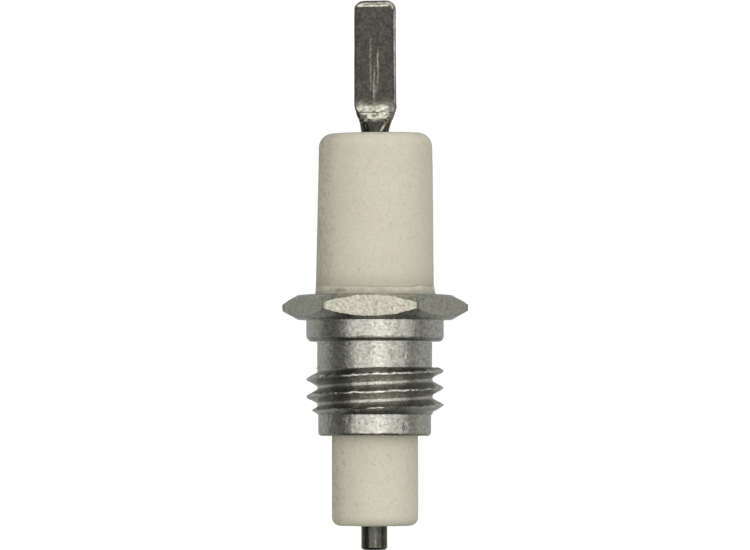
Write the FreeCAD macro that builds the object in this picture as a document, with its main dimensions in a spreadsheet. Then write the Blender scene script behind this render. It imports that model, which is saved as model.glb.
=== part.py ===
import FreeCAD, Part
import math
import os

import Sketcher

# Screw-in ignition electrode for a boiler burner.
#
# Frame: the axis of the electrode is Z, with the terminal tab at +Z and the
# spark tip at -Z. The origin is on the axis, in the plane of the hexagon's
# underside (the seat), which comes down on the burner boss.
# One pair of hexagon flats faces -Y and +Y.

# ---------------------------------------------------------------- dimensions
# (alias, millimetres or degrees, what it is)
# A height is measured up from the seat, a depth down from it.
SIZES = [
    # hexagon of the shell
    ("hex_af", 18.7, "hexagon across flats, for a 19 mm spanner"),
    ("hex_height", 2.8, "hexagon thickness"),
    ("hex_chamfer_dia", 18.0, "circle where the corner chamfers start"),
    ("hex_chamfer_deg", 30.0, "corner chamfer angle from the flat face"),
    ("hex_cut_over", 0.5, "how far the chamfer cut reaches past the corners"),
    # turned shank of the shell
    ("thread_dia", 15.95, "crest diameter of the M16 thread, and the collar"),
    ("collar_depth", 2.5, "lower face of the collar under the hexagon"),
    ("collar_round", 0.4, "round on the collar's lower edge"),
    ("seat_round", 0.2, "tool radius between collar and hexagon seat"),
    ("relief_dia", 13.36, "relief groove over the thread"),
    ("thread_start", 5.5, "depth where the thread blank starts"),
    ("cone_start", 10.1, "depth where the lead-in cone starts"),
    ("pilot_start", 11.05, "depth where the plain pilot starts"),
    ("pilot_dia", 13.12, "plain pilot under the thread"),
    ("pilot_depth", 13.5, "depth of the shell's lower end"),
    ("pilot_round", 0.4, "round on the pilot's lower edge"),
    # thread form
    ("thread_pitch", 2.0, "M16 coarse pitch"),
    ("root_dia", 13.4, "thread root diameter"),
    ("root_flat", 0.4, "width of the root"),
    ("flank_deg", 30.0, "flank angle from the radial plane"),
    ("cut_over", 0.05, "how far the thread tool stands outside the crest"),
    ("cut_start", 3.95, "depth of the tool's centre where it starts, over -X"),
    ("cut_travel", 8.2, "axial travel of the thread tool"),
    # bores of the shell
    ("counterbore_dia", 14.2, "seat for the insulator's shoulder"),
    ("counterbore_depth", 1.6, "depth of the counterbore's floor"),
    ("mouth_chamfer", 0.3, "chamfer at the counterbore's mouth"),
    ("shell_bore_dia", 10.3, "through bore for the insulator's nose"),
    ("bore_chamfer", 0.2, "chamfer at the lower end of the bore"),
    # insulator
    ("barrel_top", 21.7, "height of the insulator's upper end"),
    ("barrel_top_dia", 13.15, "barrel at the top, before its round"),
    ("shoulder_dia", 13.72, "barrel at the hexagon's top face and below it"),
    ("barrel_round", 1.85, "round at the top of the barrel"),
    ("shoulder_depth", 1.2, "lower face of the shoulder"),
    ("shoulder_round", 0.3, "rounds at both edges of the shoulder's lower face"),
    ("nose_dia", 10.0, "nose of the insulator"),
    ("nose_depth", 23.9, "lower end of the nose"),
    ("nose_round", 0.95, "round at the end of the nose"),
    ("core_bore_dia", 3.2, "bore for the rod"),
    ("pocket_dia", 5.6, "cement pocket around the rod"),
    ("pocket_depth", 6.0, "depth of the cement pocket below the barrel's top"),
    ("pocket_chamfer", 0.2, "chamfer at the pocket's mouth"),
    # gasket under the shoulder
    ("gasket_inner_dia", 10.8, "gasket inside"),
    ("gasket_outer_dia", 13.9, "gasket outside"),
    # cement
    ("bead_foot_dia", 14.95, "foot of the bead on the hexagon"),
    ("bead_foot_height", 0.12, "edge height of the bead's foot"),
    ("bead_height", 0.9, "top of the bead over the hexagon"),
    ("bead_bend", 0.6, "height of the bead's bend, as a share of its height"),
    ("bead_skin", 0.08, "how far the bend stands outside the bead's top edge"),
    ("plug_drop", 0.25, "surface of the pocket's cement under the rim"),
    # rod and its anchor ears
    ("rod_dia", 3.0, "electrode rod"),
    ("tip_depth", 26.7, "end of the rod"),
    ("tip_chamfer", 0.25, "chamfer at the rod's end"),
    ("ear_width", 4.4, "pinched ears that anchor the rod in the cement"),
    ("ear_length", 1.8, "height of the ears from lower to upper edge"),
    ("ear_thick", 1.3, "thickness of the ears"),
    ("ear_height", 17.4, "height of the ears' lower edge"),
    ("ear_corner", 0.3, "chamfer at the ears' corners"),
    # tab
    ("neck_start", 21.5, "height where the rod starts to flatten"),
    ("tab_start", 24.6, "height where the tab has its full width"),
    ("tab_top", 37.1, "top of the tab"),
    ("tab_width", 4.8, "tab width"),
    ("tab_thick", 0.8, "tab thickness"),
    ("tab_corner", 1.05, "round at the tab's top corners"),
    ("tab_bevel_high", 0.7, "height of the entry bevel"),
    ("tab_bevel_deep", 0.24, "depth of the entry bevel"),
    ("tab_edge", 0.16, "chamfer along the tab's long edges"),
    ("tab_cut_over", 0.3, "how far the cutting outlines stand outside the tab"),
    ("tab_cut_extra", 1.0, "extra length of the cuts through the tab"),
    ("tab_turn", -8.8, "turn of the tab's faces from the hexagon's flats"),
]
NUMBER = {alias: value for alias, value, _ in SIZES}

doc = FreeCAD.newDocument("ignition_electrode")

sheet = doc.addObject("Spreadsheet::Sheet", "dims")
sheet.set("A1", "dimension")
sheet.set("B1", "mm or degrees")
sheet.set("C1", "what it is")
for row, (alias, value, meaning) in enumerate(SIZES, 2):
    sheet.set("A%d" % row, alias)
    sheet.set("B%d" % row, repr(value))
    sheet.setAlias("B%d" % row, alias)
    sheet.set("C%d" % row, meaning)
doc.recompute()


class Dim:
    """A length or angle that knows its number now and its formula on the sheet."""

    def __init__(self, value, text):
        self.value = float(value)
        self.text = text

    @staticmethod
    def of(x):
        return x if isinstance(x, Dim) else Dim(x, repr(float(x)))

    def __add__(self, other):
        other = Dim.of(other)
        return Dim(self.value + other.value, "(%s + %s)" % (self.text, other.text))

    def __sub__(self, other):
        other = Dim.of(other)
        return Dim(self.value - other.value, "(%s - %s)" % (self.text, other.text))

    def __mul__(self, other):
        other = Dim.of(other)
        return Dim(self.value * other.value, "(%s * %s)" % (self.text, other.text))

    def __truediv__(self, other):
        other = Dim.of(other)
        return Dim(self.value / other.value, "(%s / %s)" % (self.text, other.text))

    def __neg__(self):
        return Dim(-self.value, "(-1 * %s)" % self.text)


def dim(alias):
    return Dim(NUMBER[alias], "dims." + alias)


def half(alias):
    return dim(alias) / 2


def tan(angle):
    return Dim(math.tan(math.radians(angle.value)), "tan(%s * 1 deg)" % angle.text)


# ------------------------------------------------------------------ sketches
RING_TOLERANCE = 0.01  # for finding a round edge by its radius and height


def bind(obj, prop, size):
    obj.setExpression(prop, size.text)


def new_body(name):
    body = doc.addObject("PartDesign::Body", name)
    body.Label = name
    return body


def new_sketch(body, name, role, lift=None):
    """A sketch on the body's XY, XZ or YZ plane; in the last two, sketch y is Z."""
    sketch = body.newObject("Sketcher::SketchObject", name)
    plane = [o for o in body.Origin.OriginFeatures if o.Role == role][0]
    sketch.AttachmentSupport = [(plane, "")]
    sketch.MapMode = "FlatFace"
    if lift is not None:
        sketch.AttachmentOffset = FreeCAD.Placement(
            FreeCAD.Vector(0, 0, lift.value), FreeCAD.Rotation()
        )
        bind(sketch, "AttachmentOffset.Base.z", lift)
    return sketch


def hold(sketch, geo, pos, axis, size, name):
    """Fix one coordinate (axis 0 is x, 1 is y) of a sketch point to a formula."""
    kind = "DistanceX" if axis == 0 else "DistanceY"
    if abs(size.value) < 1e-12:
        across = -2 if axis == 0 else -1
        sketch.addConstraint(Sketcher.Constraint("PointOnObject", geo, pos, across))
        return
    # the distance is always positive, so its two points swap for a negative one
    if size.value > 0:
        rule = Sketcher.Constraint(kind, -1, 1, geo, pos, size.value)
    else:
        size = -size
        rule = Sketcher.Constraint(kind, geo, pos, -1, 1, size.value)
    index = sketch.addConstraint(rule)
    sketch.renameConstraint(index, name)
    bind(sketch, "Constraints." + name, size)


def outline(sketch, *loops):
    """Closed polygons whose corners all sit on formulas of the sheet."""
    for number, loop in enumerate(loops):
        corners = [(Dim.of(x), Dim.of(y)) for x, y in loop]
        points = [FreeCAD.Vector(x.value, y.value, 0) for x, y in corners]
        lines = [
            sketch.addGeometry(Part.LineSegment(start, end), False)
            for start, end in zip(points, points[1:] + points[:1])
        ]
        for line, following in zip(lines, lines[1:] + lines[:1]):
            sketch.addConstraint(Sketcher.Constraint("Coincident", line, 2, following, 1))
        for i, (line, (x, y)) in enumerate(zip(lines, corners)):
            hold(sketch, line, 1, 0, x, "x%d_%d" % (number, i))
            hold(sketch, line, 1, 1, y, "y%d_%d" % (number, i))


def circle(sketch, radius):
    shape = Part.Circle(FreeCAD.Vector(0, 0, 0), FreeCAD.Vector(0, 0, 1), radius.value)
    geo = sketch.addGeometry(shape, False)
    sketch.addConstraint(Sketcher.Constraint("Coincident", geo, 3, -1, 1))
    index = sketch.addConstraint(Sketcher.Constraint("Radius", geo, radius.value))
    sketch.renameConstraint(index, "radius")
    bind(sketch, "Constraints.radius", radius)


# ------------------------------------------------------------------ features
def require_cut(body, before, least, name):
    if not body.Shape.Volume < before - least:
        raise RuntimeError("%s did not cut" % name)


def turned(body, kind, name, *loops):
    """A Revolution or Groove of a profile in the XZ plane about the axis."""
    sketch = new_sketch(body, name + "_profile", "XZ_Plane")
    outline(sketch, *loops)
    doc.recompute()
    before = body.Shape.Volume if not body.Shape.isNull() else 0.0
    feature = body.newObject("PartDesign::" + kind, name)
    feature.Profile = sketch
    feature.ReferenceAxis = (sketch, ["V_Axis"])
    feature.Angle = 360
    doc.recompute()
    gained = body.Shape.Volume - before
    if (kind == "Groove") != (gained < 0) or abs(gained) < 1e-6:
        raise RuntimeError("%s changed the volume by %g" % (name, gained))
    return feature


def pad(body, name, sketch, length, both_ways=False):
    doc.recompute()
    feature = body.newObject("PartDesign::Pad", name)
    feature.Profile = sketch
    if both_ways:
        feature.SideType = "Symmetric"
    feature.Length = length.value
    bind(feature, "Length", length)
    doc.recompute()


def cut_through(body, name, sketch, length, least):
    """A Pocket to both sides of its sketch that must remove the least volume."""
    doc.recompute()
    before = body.Shape.Volume
    feature = body.newObject("PartDesign::Pocket", name)
    feature.Profile = sketch
    feature.SideType = "Symmetric"
    feature.Type = "Length"
    feature.Length = length.value
    bind(feature, "Length", length)
    doc.recompute()
    require_cut(body, before, least, name)


def rings(feature, radius, height):
    """Names of the circular edges of this radius at this height."""
    found = []
    for i, edge in enumerate(feature.Shape.Edges, 1):
        curve = edge.Curve
        if (
            isinstance(curve, Part.Circle)
            and abs(curve.Radius - radius.value) < RING_TOLERANCE
            and abs(curve.Center.z - height.value) < RING_TOLERANCE
        ):
            found.append("Edge%d" % i)
    if not found:
        raise RuntimeError("no round edge r %g at z %g" % (radius.value, height.value))
    return found


def add_rounds(body, base, rounds):
    """Fillets one on another; a round is (name, radius alias, edges),
    and each edge is (its radius, its height)."""
    for name, alias, places in rounds:
        edges = []
        for radius, height in places:
            edges += rings(base, radius, height)
        feature = body.newObject("PartDesign::Fillet", name)
        feature.Base = (base, edges)
        feature.Radius = NUMBER[alias]
        bind(feature, "Radius", dim(alias))
        doc.recompute()
        base = feature


# --------------------------------------------------------------------- shell
# Turned from hexagon bar: spanner hexagon, collar, relief groove, M16 x 2
# right-hand thread and a plain pilot, bored through for the insulator.
def add_hexagon(body):
    flat_y = half("hex_af")
    flat_x = flat_y * tan(Dim.of(30))  # half a side, seen at 30 degrees from the axis
    corner_x = flat_x * 2
    sketch = new_sketch(body, "hex_outline", "XY_Plane")
    outline(
        sketch,
        [
            (corner_x, 0),
            (flat_x, flat_y),
            (-flat_x, flat_y),
            (-corner_x, 0),
            (-flat_x, -flat_y),
            (flat_x, -flat_y),
        ],
    )
    pad(body, "hexagon", sketch, dim("hex_height"))

    chamfer_r = half("hex_chamfer_dia")
    reach = corner_x + dim("hex_cut_over")
    rise = (reach - chamfer_r) * tan(dim("hex_chamfer_deg"))
    top = dim("hex_height")
    turned(
        body,
        "Groove",
        "hexagon_chamfers",
        [(chamfer_r, 0), (reach, 0), (reach, rise)],
        [(chamfer_r, top), (reach, top - rise), (reach, top)],
    )


def add_shank(body):
    crest_r, relief_r, pilot_r = half("thread_dia"), half("relief_dia"), half("pilot_dia")
    turned(
        body,
        "Revolution",
        "shank",
        [
            (0, 0),
            (0, -dim("pilot_depth")),
            (pilot_r, -dim("pilot_depth")),
            (pilot_r, -dim("pilot_start")),
            (crest_r, -dim("cone_start")),
            (crest_r, -dim("thread_start")),
            (relief_r, -dim("thread_start")),
            (relief_r, -dim("collar_depth")),
            (crest_r, -dim("collar_depth")),
            (crest_r, 0),
        ],
    )


def cut_bores(body):
    bore_r, counterbore_r = half("shell_bore_dia"), half("counterbore_dia")
    top, bottom = dim("hex_height"), -dim("pilot_depth")
    turned(
        body,
        "Groove",
        "bores",
        [
            (0, top),
            (0, bottom),
            (bore_r + dim("bore_chamfer"), bottom),
            (bore_r, bottom + dim("bore_chamfer")),
            (bore_r, -dim("counterbore_depth")),
            (counterbore_r, -dim("counterbore_depth")),
            (counterbore_r, top - dim("mouth_chamfer")),
            (counterbore_r + dim("mouth_chamfer"), top),
        ],
    )


def cut_thread(body):
    """A 60 degree trapezium that starts in the relief groove on the -X side
    and runs down a right-hand helix, out over the pilot."""
    root_r = half("root_dia")
    outer_r = half("thread_dia") + dim("cut_over")
    root_half = half("root_flat")
    outer_half = root_half + (outer_r - root_r) * tan(dim("flank_deg"))
    centre = -dim("cut_start")
    tool = new_sketch(body, "thread_tool", "XZ_Plane")
    outline(
        tool,
        [
            (-root_r, centre + root_half),
            (-root_r, centre - root_half),
            (-outer_r, centre - outer_half),
            (-outer_r, centre + outer_half),
        ],
    )
    doc.recompute()
    before = body.Shape.Volume
    thread = body.newObject("PartDesign::SubtractiveHelix", "thread")
    thread.Profile = tool
    thread.ReferenceAxis = (tool, ["V_Axis"])
    thread.Mode = 0  # by pitch and height
    thread.Angle = 0
    thread.LeftHanded = False
    thread.Reversed = True
    thread.Pitch = NUMBER["thread_pitch"]
    thread.Height = NUMBER["cut_travel"]
    bind(thread, "Pitch", dim("thread_pitch"))
    bind(thread, "Height", dim("cut_travel"))
    doc.recompute()
    require_cut(body, before, 50, "thread")
    return thread


def make_shell():
    body = new_body("shell")
    add_hexagon(body)
    add_shank(body)
    cut_bores(body)
    thread = cut_thread(body)
    crest_r = half("thread_dia")
    add_rounds(
        body,
        thread,
        [
            ("collar_lower_round", "collar_round", [(crest_r, -dim("collar_depth"))]),
            ("pilot_lower_round", "pilot_round", [(half("pilot_dia"), -dim("pilot_depth"))]),
            ("seat_tool_radius", "seat_round", [(crest_r, Dim.of(0))]),
        ],
    )
    return body


# ----------------------------------------------------------------- insulator
# One pressed and fired ceramic: tapered barrel, shoulder in the shell's
# counterbore, straight nose, through bore with a cement pocket at the top.
def make_insulator():
    body = new_body("insulator")
    top, bottom = dim("barrel_top"), -dim("nose_depth")
    shoulder = -dim("shoulder_depth")
    top_r, shoulder_r, nose_r = half("barrel_top_dia"), half("shoulder_dia"), half("nose_dia")
    ceramic = turned(
        body,
        "Revolution",
        "ceramic",
        [
            (0, top),
            (0, bottom),
            (nose_r, bottom),
            (nose_r, shoulder),
            (shoulder_r, shoulder),
            (shoulder_r, dim("hex_height")),
            (top_r, top),
        ],
    )
    add_rounds(
        body,
        ceramic,
        [
            ("barrel_top_round", "barrel_round", [(top_r, top)]),
            ("nose_end_round", "nose_round", [(nose_r, bottom)]),
            ("shoulder_rounds", "shoulder_round", [(shoulder_r, shoulder), (nose_r, shoulder)]),
        ],
    )
    bore_r, pocket_r = half("core_bore_dia"), half("pocket_dia")
    pocket_floor = top - dim("pocket_depth")
    turned(
        body,
        "Groove",
        "core_bore",
        [
            (0, top),
            (0, bottom),
            (bore_r, bottom),
            (bore_r, pocket_floor),
            (pocket_r, pocket_floor),
            (pocket_r, top - dim("pocket_chamfer")),
            (pocket_r + dim("pocket_chamfer"), top),
        ],
    )
    return body


# --------------------------------------------------------------- seat gasket
# Flat metal ring on the counterbore's floor, under the insulator's shoulder.
def make_seat_gasket():
    body = new_body("seat_gasket")
    inner_r, outer_r = half("gasket_inner_dia"), half("gasket_outer_dia")
    low, high = -dim("counterbore_depth"), -dim("shoulder_depth")
    turned(
        body,
        "Revolution",
        "ring",
        [(inner_r, low), (outer_r, low), (outer_r, high), (inner_r, high)],
    )
    return body


# ----------------------------------------------------------- shoulder cement
# Fills the gap between shoulder and counterbore, and stands up on the
# hexagon as a thin bead against the barrel.
def make_shoulder_cement():
    body = new_body("shoulder_cement")
    shoulder_r, counterbore_r = half("shoulder_dia"), half("counterbore_dia")
    foot_r = half("bead_foot_dia")
    hex_top = dim("hex_height")
    bottom = dim("shoulder_round") - dim("shoulder_depth")
    # the bead's inner side follows the barrel's taper
    barrel_slope = (shoulder_r - half("barrel_top_dia")) / (dim("barrel_top") - hex_top)
    bead_top_r = shoulder_r - barrel_slope * dim("bead_height")
    turned(
        body,
        "Revolution",
        "cement",
        [
            (shoulder_r, bottom),
            (counterbore_r, bottom),
            (counterbore_r, hex_top - dim("mouth_chamfer")),
            (counterbore_r + dim("mouth_chamfer"), hex_top),
            (foot_r, hex_top),
            (foot_r, hex_top + dim("bead_foot_height")),
            (bead_top_r + dim("bead_skin"), hex_top + dim("bead_height") * dim("bead_bend")),
            (bead_top_r, hex_top + dim("bead_height")),
            (shoulder_r, hex_top),
        ],
    )
    return body


# ------------------------------------------------------------- electrode rod
# One piece of round heat-resistant wire: chamfered spark tip, pinched ears
# that anchor it in the cement, and its upper end flattened to a push-on tab.
def add_wire(body):
    wire_r = half("rod_dia")
    top, bottom, chamfer = dim("neck_start"), -dim("tip_depth"), dim("tip_chamfer")
    turned(
        body,
        "Revolution",
        "wire",
        [
            (0, top),
            (0, bottom),
            (wire_r - chamfer, bottom),
            (wire_r, bottom + chamfer),
            (wire_r, top),
        ],
    )


def add_ears(body):
    low = dim("ear_height")
    high = low + dim("ear_length")
    outer_x, corner = half("ear_width"), dim("ear_corner")
    inner_x = outer_x - corner
    sketch = new_sketch(body, "ear_outline", "XZ_Plane")
    outline(
        sketch,
        [
            (-inner_x, low),
            (inner_x, low),
            (outer_x, low + corner),
            (outer_x, high - corner),
            (inner_x, high),
            (-inner_x, high),
            (-outer_x, high - corner),
            (-outer_x, low + corner),
        ],
    )
    pad(body, "anchor_ears", sketch, dim("ear_thick"), both_ways=True)


def tab_section(body, name):
    """The tab's cross-section, a rectangle with chamfered corners, at its start."""
    half_w, half_t, edge = half("tab_width"), half("tab_thick"), dim("tab_edge")
    inner_w, inner_t = half_w - edge, half_t - edge
    sketch = new_sketch(body, name, "XY_Plane", dim("tab_start"))
    outline(
        sketch,
        [
            (half_w, inner_t),
            (inner_w, half_t),
            (-inner_w, half_t),
            (-half_w, inner_t),
            (-half_w, -inner_t),
            (-inner_w, -half_t),
            (inner_w, -half_t),
            (half_w, -inner_t),
        ],
    )
    return sketch


def add_neck_and_blade(body):
    foot = new_sketch(body, "neck_foot", "XY_Plane", dim("neck_start"))
    circle(foot, half("rod_dia"))
    head = tab_section(body, "neck_head")
    doc.recompute()
    neck = body.newObject("PartDesign::AdditiveLoft", "neck")
    neck.Profile = foot
    neck.Sections = [head]
    doc.recompute()
    section = tab_section(body, "blade_section")
    pad(body, "blade", section, dim("tab_top") - dim("tab_start"))


def cut_entry_bevels(body):
    """Bevels at the top of both faces of the tab, drawn as seen from its edge."""
    face = half("tab_thick")
    deep = face - dim("tab_bevel_deep")
    outside = face + dim("tab_cut_over")
    top = dim("tab_top")
    low = top - dim("tab_bevel_high")
    sketch = new_sketch(body, "entry_bevel_outline", "YZ_Plane")
    outline(
        sketch,
        [(face, low), (outside, low), (outside, top), (deep, top)],
        [(-face, low), (-deep, top), (-outside, top), (-outside, low)],
    )
    length = dim("tab_width") + dim("tab_cut_extra")
    cut_through(body, "entry_bevels", sketch, length, least=0.2)


def corner_loop(sketch, side, prefix):
    """A square corner piece with the round taken out of its inner side;
    side is 1 at +X and -1 at -X."""
    radius, over = dim("tab_corner"), dim("tab_cut_over")
    centre_x = (half("tab_width") - radius) * side
    edge_x = half("tab_width") * side
    outside_x = edge_x + over * side
    top = dim("tab_top")
    centre_y = top - radius
    outside_y = top + over

    def point(x, y):
        return FreeCAD.Vector(x.value, y.value, 0)

    arc_top = point(centre_x, top)
    arc_low = point(edge_x, centre_y)
    diagonal = radius.value * math.sin(math.pi / 4)
    arc_middle = point(centre_x, centre_y) + FreeCAD.Vector(side * diagonal, diagonal, 0)
    arc = sketch.addGeometry(Part.Arc(arc_top, arc_middle, arc_low), False)
    path = [
        arc_low,
        point(outside_x, centre_y),
        point(outside_x, outside_y),
        point(centre_x, outside_y),
        arc_top,
    ]
    lines = [
        sketch.addGeometry(Part.LineSegment(start, end), False)
        for start, end in zip(path, path[1:])
    ]

    # a sketch arc always runs counter-clockwise, so its ends depend on the side
    starts_at_top = (sketch.getPoint(arc, 1) - arc_top).Length < 1e-6
    top_end, low_end = (1, 2) if starts_at_top else (2, 1)

    def tie(*rule):
        sketch.addConstraint(Sketcher.Constraint(*rule))

    tie("Coincident", arc, low_end, lines[0], 1)
    for line, following in zip(lines, lines[1:]):
        tie("Coincident", line, 2, following, 1)
    tie("Coincident", lines[3], 2, arc, top_end)
    hold(sketch, arc, 3, 0, centre_x, prefix + "_centre_x")
    hold(sketch, arc, 3, 1, centre_y, prefix + "_centre_y")
    hold(sketch, lines[0], 1, 0, edge_x, prefix + "_edge_x")
    for line, direction in zip(lines, ("Horizontal", "Vertical") * 2):
        tie(direction, line)
    hold(sketch, lines[3], 2, 0, centre_x, prefix + "_top_x")
    hold(sketch, lines[1], 1, 0, outside_x, prefix + "_outside_x")
    hold(sketch, lines[2], 1, 1, outside_y, prefix + "_outside_y")
    # the arc's end on the blade's edge is level with the arc's centre
    tie("Horizontal", arc, 3, arc, low_end)


def cut_tab_corners(body):
    sketch = new_sketch(body, "corner_outline", "XZ_Plane")
    corner_loop(sketch, 1.0, "plus")
    corner_loop(sketch, -1.0, "minus")
    length = dim("tab_thick") + dim("tab_cut_extra")
    cut_through(body, "tab_corners", sketch, length, least=0.1)


def make_rod():
    body = new_body("electrode_rod")
    add_wire(body)
    add_ears(body)
    add_neck_and_blade(body)
    cut_entry_bevels(body)
    cut_tab_corners(body)
    turn = FreeCAD.Rotation(FreeCAD.Vector(0, 0, 1), NUMBER["tab_turn"])
    body.Placement = FreeCAD.Placement(FreeCAD.Vector(0, 0, 0), turn)
    bind(body, "Placement.Rotation.Angle", dim("tab_turn"))
    return body


# ----------------------------------------------------------- terminal cement
# Plug of cement in the pocket at the top of the insulator, cast around the
# rod and its ears.
def make_terminal_cement(rod):
    plug = doc.addObject("Part::Cylinder", "plug_blank")
    bind(plug, "Radius", half("pocket_dia"))
    bind(plug, "Height", dim("pocket_depth") - dim("plug_drop"))
    bind(plug, "Placement.Base.z", dim("barrel_top") - dim("pocket_depth"))
    cement = doc.addObject("Part::Cut", "terminal_cement")
    cement.Label = "terminal_cement"
    cement.Base = plug
    cement.Tool = rod
    doc.recompute()
    return cement


# --------------------------------------------------------- build and write out
pieces = [make_shell(), make_insulator(), make_seat_gasket(), make_shoulder_cement()]
electrode_rod = make_rod()
pieces += [electrode_rod, make_terminal_cement(electrode_rod)]

for obj in doc.Objects:
    bad = [state for state in obj.State if state in ("Invalid", "Error")]
    if bad:
        raise RuntimeError("%s is %s" % (obj.Name, ", ".join(bad)))
for piece in pieces:
    shape = piece.Shape
    if shape.isNull() or not shape.isValid() or len(shape.Solids) != 1:
        raise RuntimeError("%s is not one valid solid" % piece.Label)

os.makedirs("parts", exist_ok=True)
for piece in pieces:
    piece.Shape.exportStep("parts/%s.step" % piece.Label)
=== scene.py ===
# A threaded electrode plug standing upright on Z: a steel shell with a hexagon, a ceramic
# insulator through it, and a metal rod that ends in a flat tab. The hexagon's lower face is at
# Z = 0. Collar, thread, nose and wire tip are below it, barrel and tab above. The front is -Y.

import itertools
import math
from types import SimpleNamespace

import bpy
import numpy as np
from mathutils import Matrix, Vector


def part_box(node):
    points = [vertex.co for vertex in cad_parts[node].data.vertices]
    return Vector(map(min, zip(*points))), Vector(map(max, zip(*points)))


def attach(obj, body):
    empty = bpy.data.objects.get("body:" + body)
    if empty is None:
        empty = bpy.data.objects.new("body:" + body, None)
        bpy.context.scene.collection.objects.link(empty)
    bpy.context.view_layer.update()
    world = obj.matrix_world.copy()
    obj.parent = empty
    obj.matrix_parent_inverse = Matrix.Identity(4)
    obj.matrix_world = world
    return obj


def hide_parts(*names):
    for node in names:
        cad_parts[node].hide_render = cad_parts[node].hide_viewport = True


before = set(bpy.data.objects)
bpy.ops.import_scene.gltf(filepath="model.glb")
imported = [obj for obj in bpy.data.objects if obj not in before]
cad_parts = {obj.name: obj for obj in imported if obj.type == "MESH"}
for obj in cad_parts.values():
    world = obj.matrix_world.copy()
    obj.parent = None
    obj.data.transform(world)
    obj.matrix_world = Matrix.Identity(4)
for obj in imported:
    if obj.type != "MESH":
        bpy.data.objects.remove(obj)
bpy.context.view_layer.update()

MM = 0.001  # the meshes are worked out in millimetres and stored in metres


# ------------------------------------------------------------------ places from the CAD
def box_mm(node):
    low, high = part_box(node)
    return np.array(low) / MM, np.array(high) / MM


shell_low, shell_high = box_mm("shell")
insulator_low, insulator_high = box_mm("insulator")
rod_low, rod_high = box_mm("electrode_rod")
plug_low, plug_high = box_mm("terminal_cement")

HEX_HALF_WIDTH = shell_high[1]  # half the width across flats
HEX_TOP = shell_high[2]
SHELL_END = shell_low[2]
BARREL_TOP = insulator_high[2]
NOSE_END = insulator_low[2]
TAB_TOP = rod_high[2]
TIP_END = rod_low[2]

# ------------------------------------------------------------------ sizes in millimetres
# shell
COLLAR_RADIUS = 7.975
RELIEF_RADIUS = 6.68
PILOT_RADIUS = 6.56
CHAMFER_RADIUS = 9.0  # where the hexagon's corner chamfers start
HEX_CORNER = 0.10  # round on the hexagon's upright corners
CUP_RADIUS = 7.1  # recess in the hexagon, open at the top
CUP_MOUTH_RADIUS = 7.4
CUP_MOUTH_DEPTH = 0.3
CUP_FLOOR = -1.6
SHELL_BORE = 5.15
COLLAR_FACE = -2.5
RELIEF_TOP = -2.54
COLLAR_ROUND = 0.58

# thread
ROOT_RADIUS = 6.70
PITCH = 2.0
THREAD_TOP, CONE_TOP, CONE_END = -5.6, -10.1, -11.05
CREST_Z = -5.95  # height of a crest over +X
CREST_HALF_WIDTH = 0.064
SLOPE_30 = math.tan(math.radians(30))

# insulator
BARREL_TOP_RADIUS, BARREL_FOOT_RADIUS = 6.575, 6.86
BARREL_TAPER = (BARREL_FOOT_RADIUS - BARREL_TOP_RADIUS) / (BARREL_TOP - HEX_TOP)
BARREL_BORE = 2.8
NOSE_RADIUS = 5.0
NOSE_BORE = 1.6

# rod
WIRE_RADIUS = 1.5
EAR_HALF_WIDTH, EAR_HALF_DEPTH = 2.2, 0.65  # pinched ears inside the upper cement
TAB_HALF_WIDTH, TAB_HALF_DEPTH = 2.4, 0.4
TAB_CORNER = 1.05  # round at the tab's upper corners
TAB_TURN = math.radians(-8.8)


# ------------------------------------------------------------------ shaping functions
def smooth(start, end, value):
    """Eases from 0 at start to 1 at end."""
    t = np.clip((value - start) / (end - start), 0, 1)
    return t * t * (3 - 2 * t)


def window(value, rise_start, rise_end, fall_start, fall_end):
    """Eases from 0 to 1 and back to 0."""
    return smooth(rise_start, rise_end, value) * (1 - smooth(fall_start, fall_end, value))


def bell(offset, width):
    return np.exp(-((offset / width) ** 2))


def lerp(start, end, t):
    return start + (end - start) * t


def place(x, y, z):
    return np.stack(np.broadcast_arrays(x, y, z), -1)


# ------------------------------------------------------------------ noise
def cell_value(cell, seed):
    """A random number from 0 to 1 for each whole-numbered cell."""
    n = (cell @ np.array([374761393, 668265263, 2147483647]) + seed * 1274126177) & 0xFFFFFFFF
    n = ((n ^ (n >> 13)) * 1274126177) & 0xFFFFFFFF
    n = ((n ^ (n >> 16)) * 2246822519) & 0xFFFFFFFF
    return ((n ^ (n >> 15)) & 0xFFFFFF) / float(0xFFFFFF)


def noise(points, size, seed):
    """Smooth noise from -1 to 1 at points, with features of about size mm."""
    scaled = np.asarray(points, float) / np.asarray(size, float)
    cell = np.floor(scaled).astype(np.int64)
    blend = scaled - cell
    blend = blend * blend * blend * (blend * (blend * 6 - 15) + 10)
    total = 0.0
    for corner in itertools.product((0, 1), repeat=3):
        weight = np.prod(np.where(corner, blend, 1 - blend), axis=-1)
        total = total + weight * cell_value(cell + np.array(corner), seed)
    return total * 2 - 1


def layers(points, *entries):
    """A sum of noises. Each entry: height, size in mm, seed."""
    return sum(height * noise(points, size, seed) for height, size, seed in entries)


def peaks(points, size, seed, above):
    """Only the part of the noise above a level, for pits and chips."""
    return np.clip(noise(points, size, seed) - above, 0, 1)


# ------------------------------------------------------------------ outlines and rings
def lines(start, *legs):
    """Straight legs of an outline. Each leg: end radius, end z, number of stations."""
    path = [start]
    for radius, z, count in legs:
        path += [
            (lerp(start[0], radius, t), lerp(start[1], z, t))
            for t in np.linspace(0, 1, count)[1:]
        ]
        start = (radius, z)
    return path


def arc(centre, radius, start, end, count):
    """Angles in degrees, 0 pointing away from the axis."""
    return [
        (
            centre[0] + radius * math.cos(math.radians(degrees)),
            centre[1] + radius * math.sin(math.radians(degrees)),
        )
        for degrees in np.linspace(start, end, count)
    ]


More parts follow.
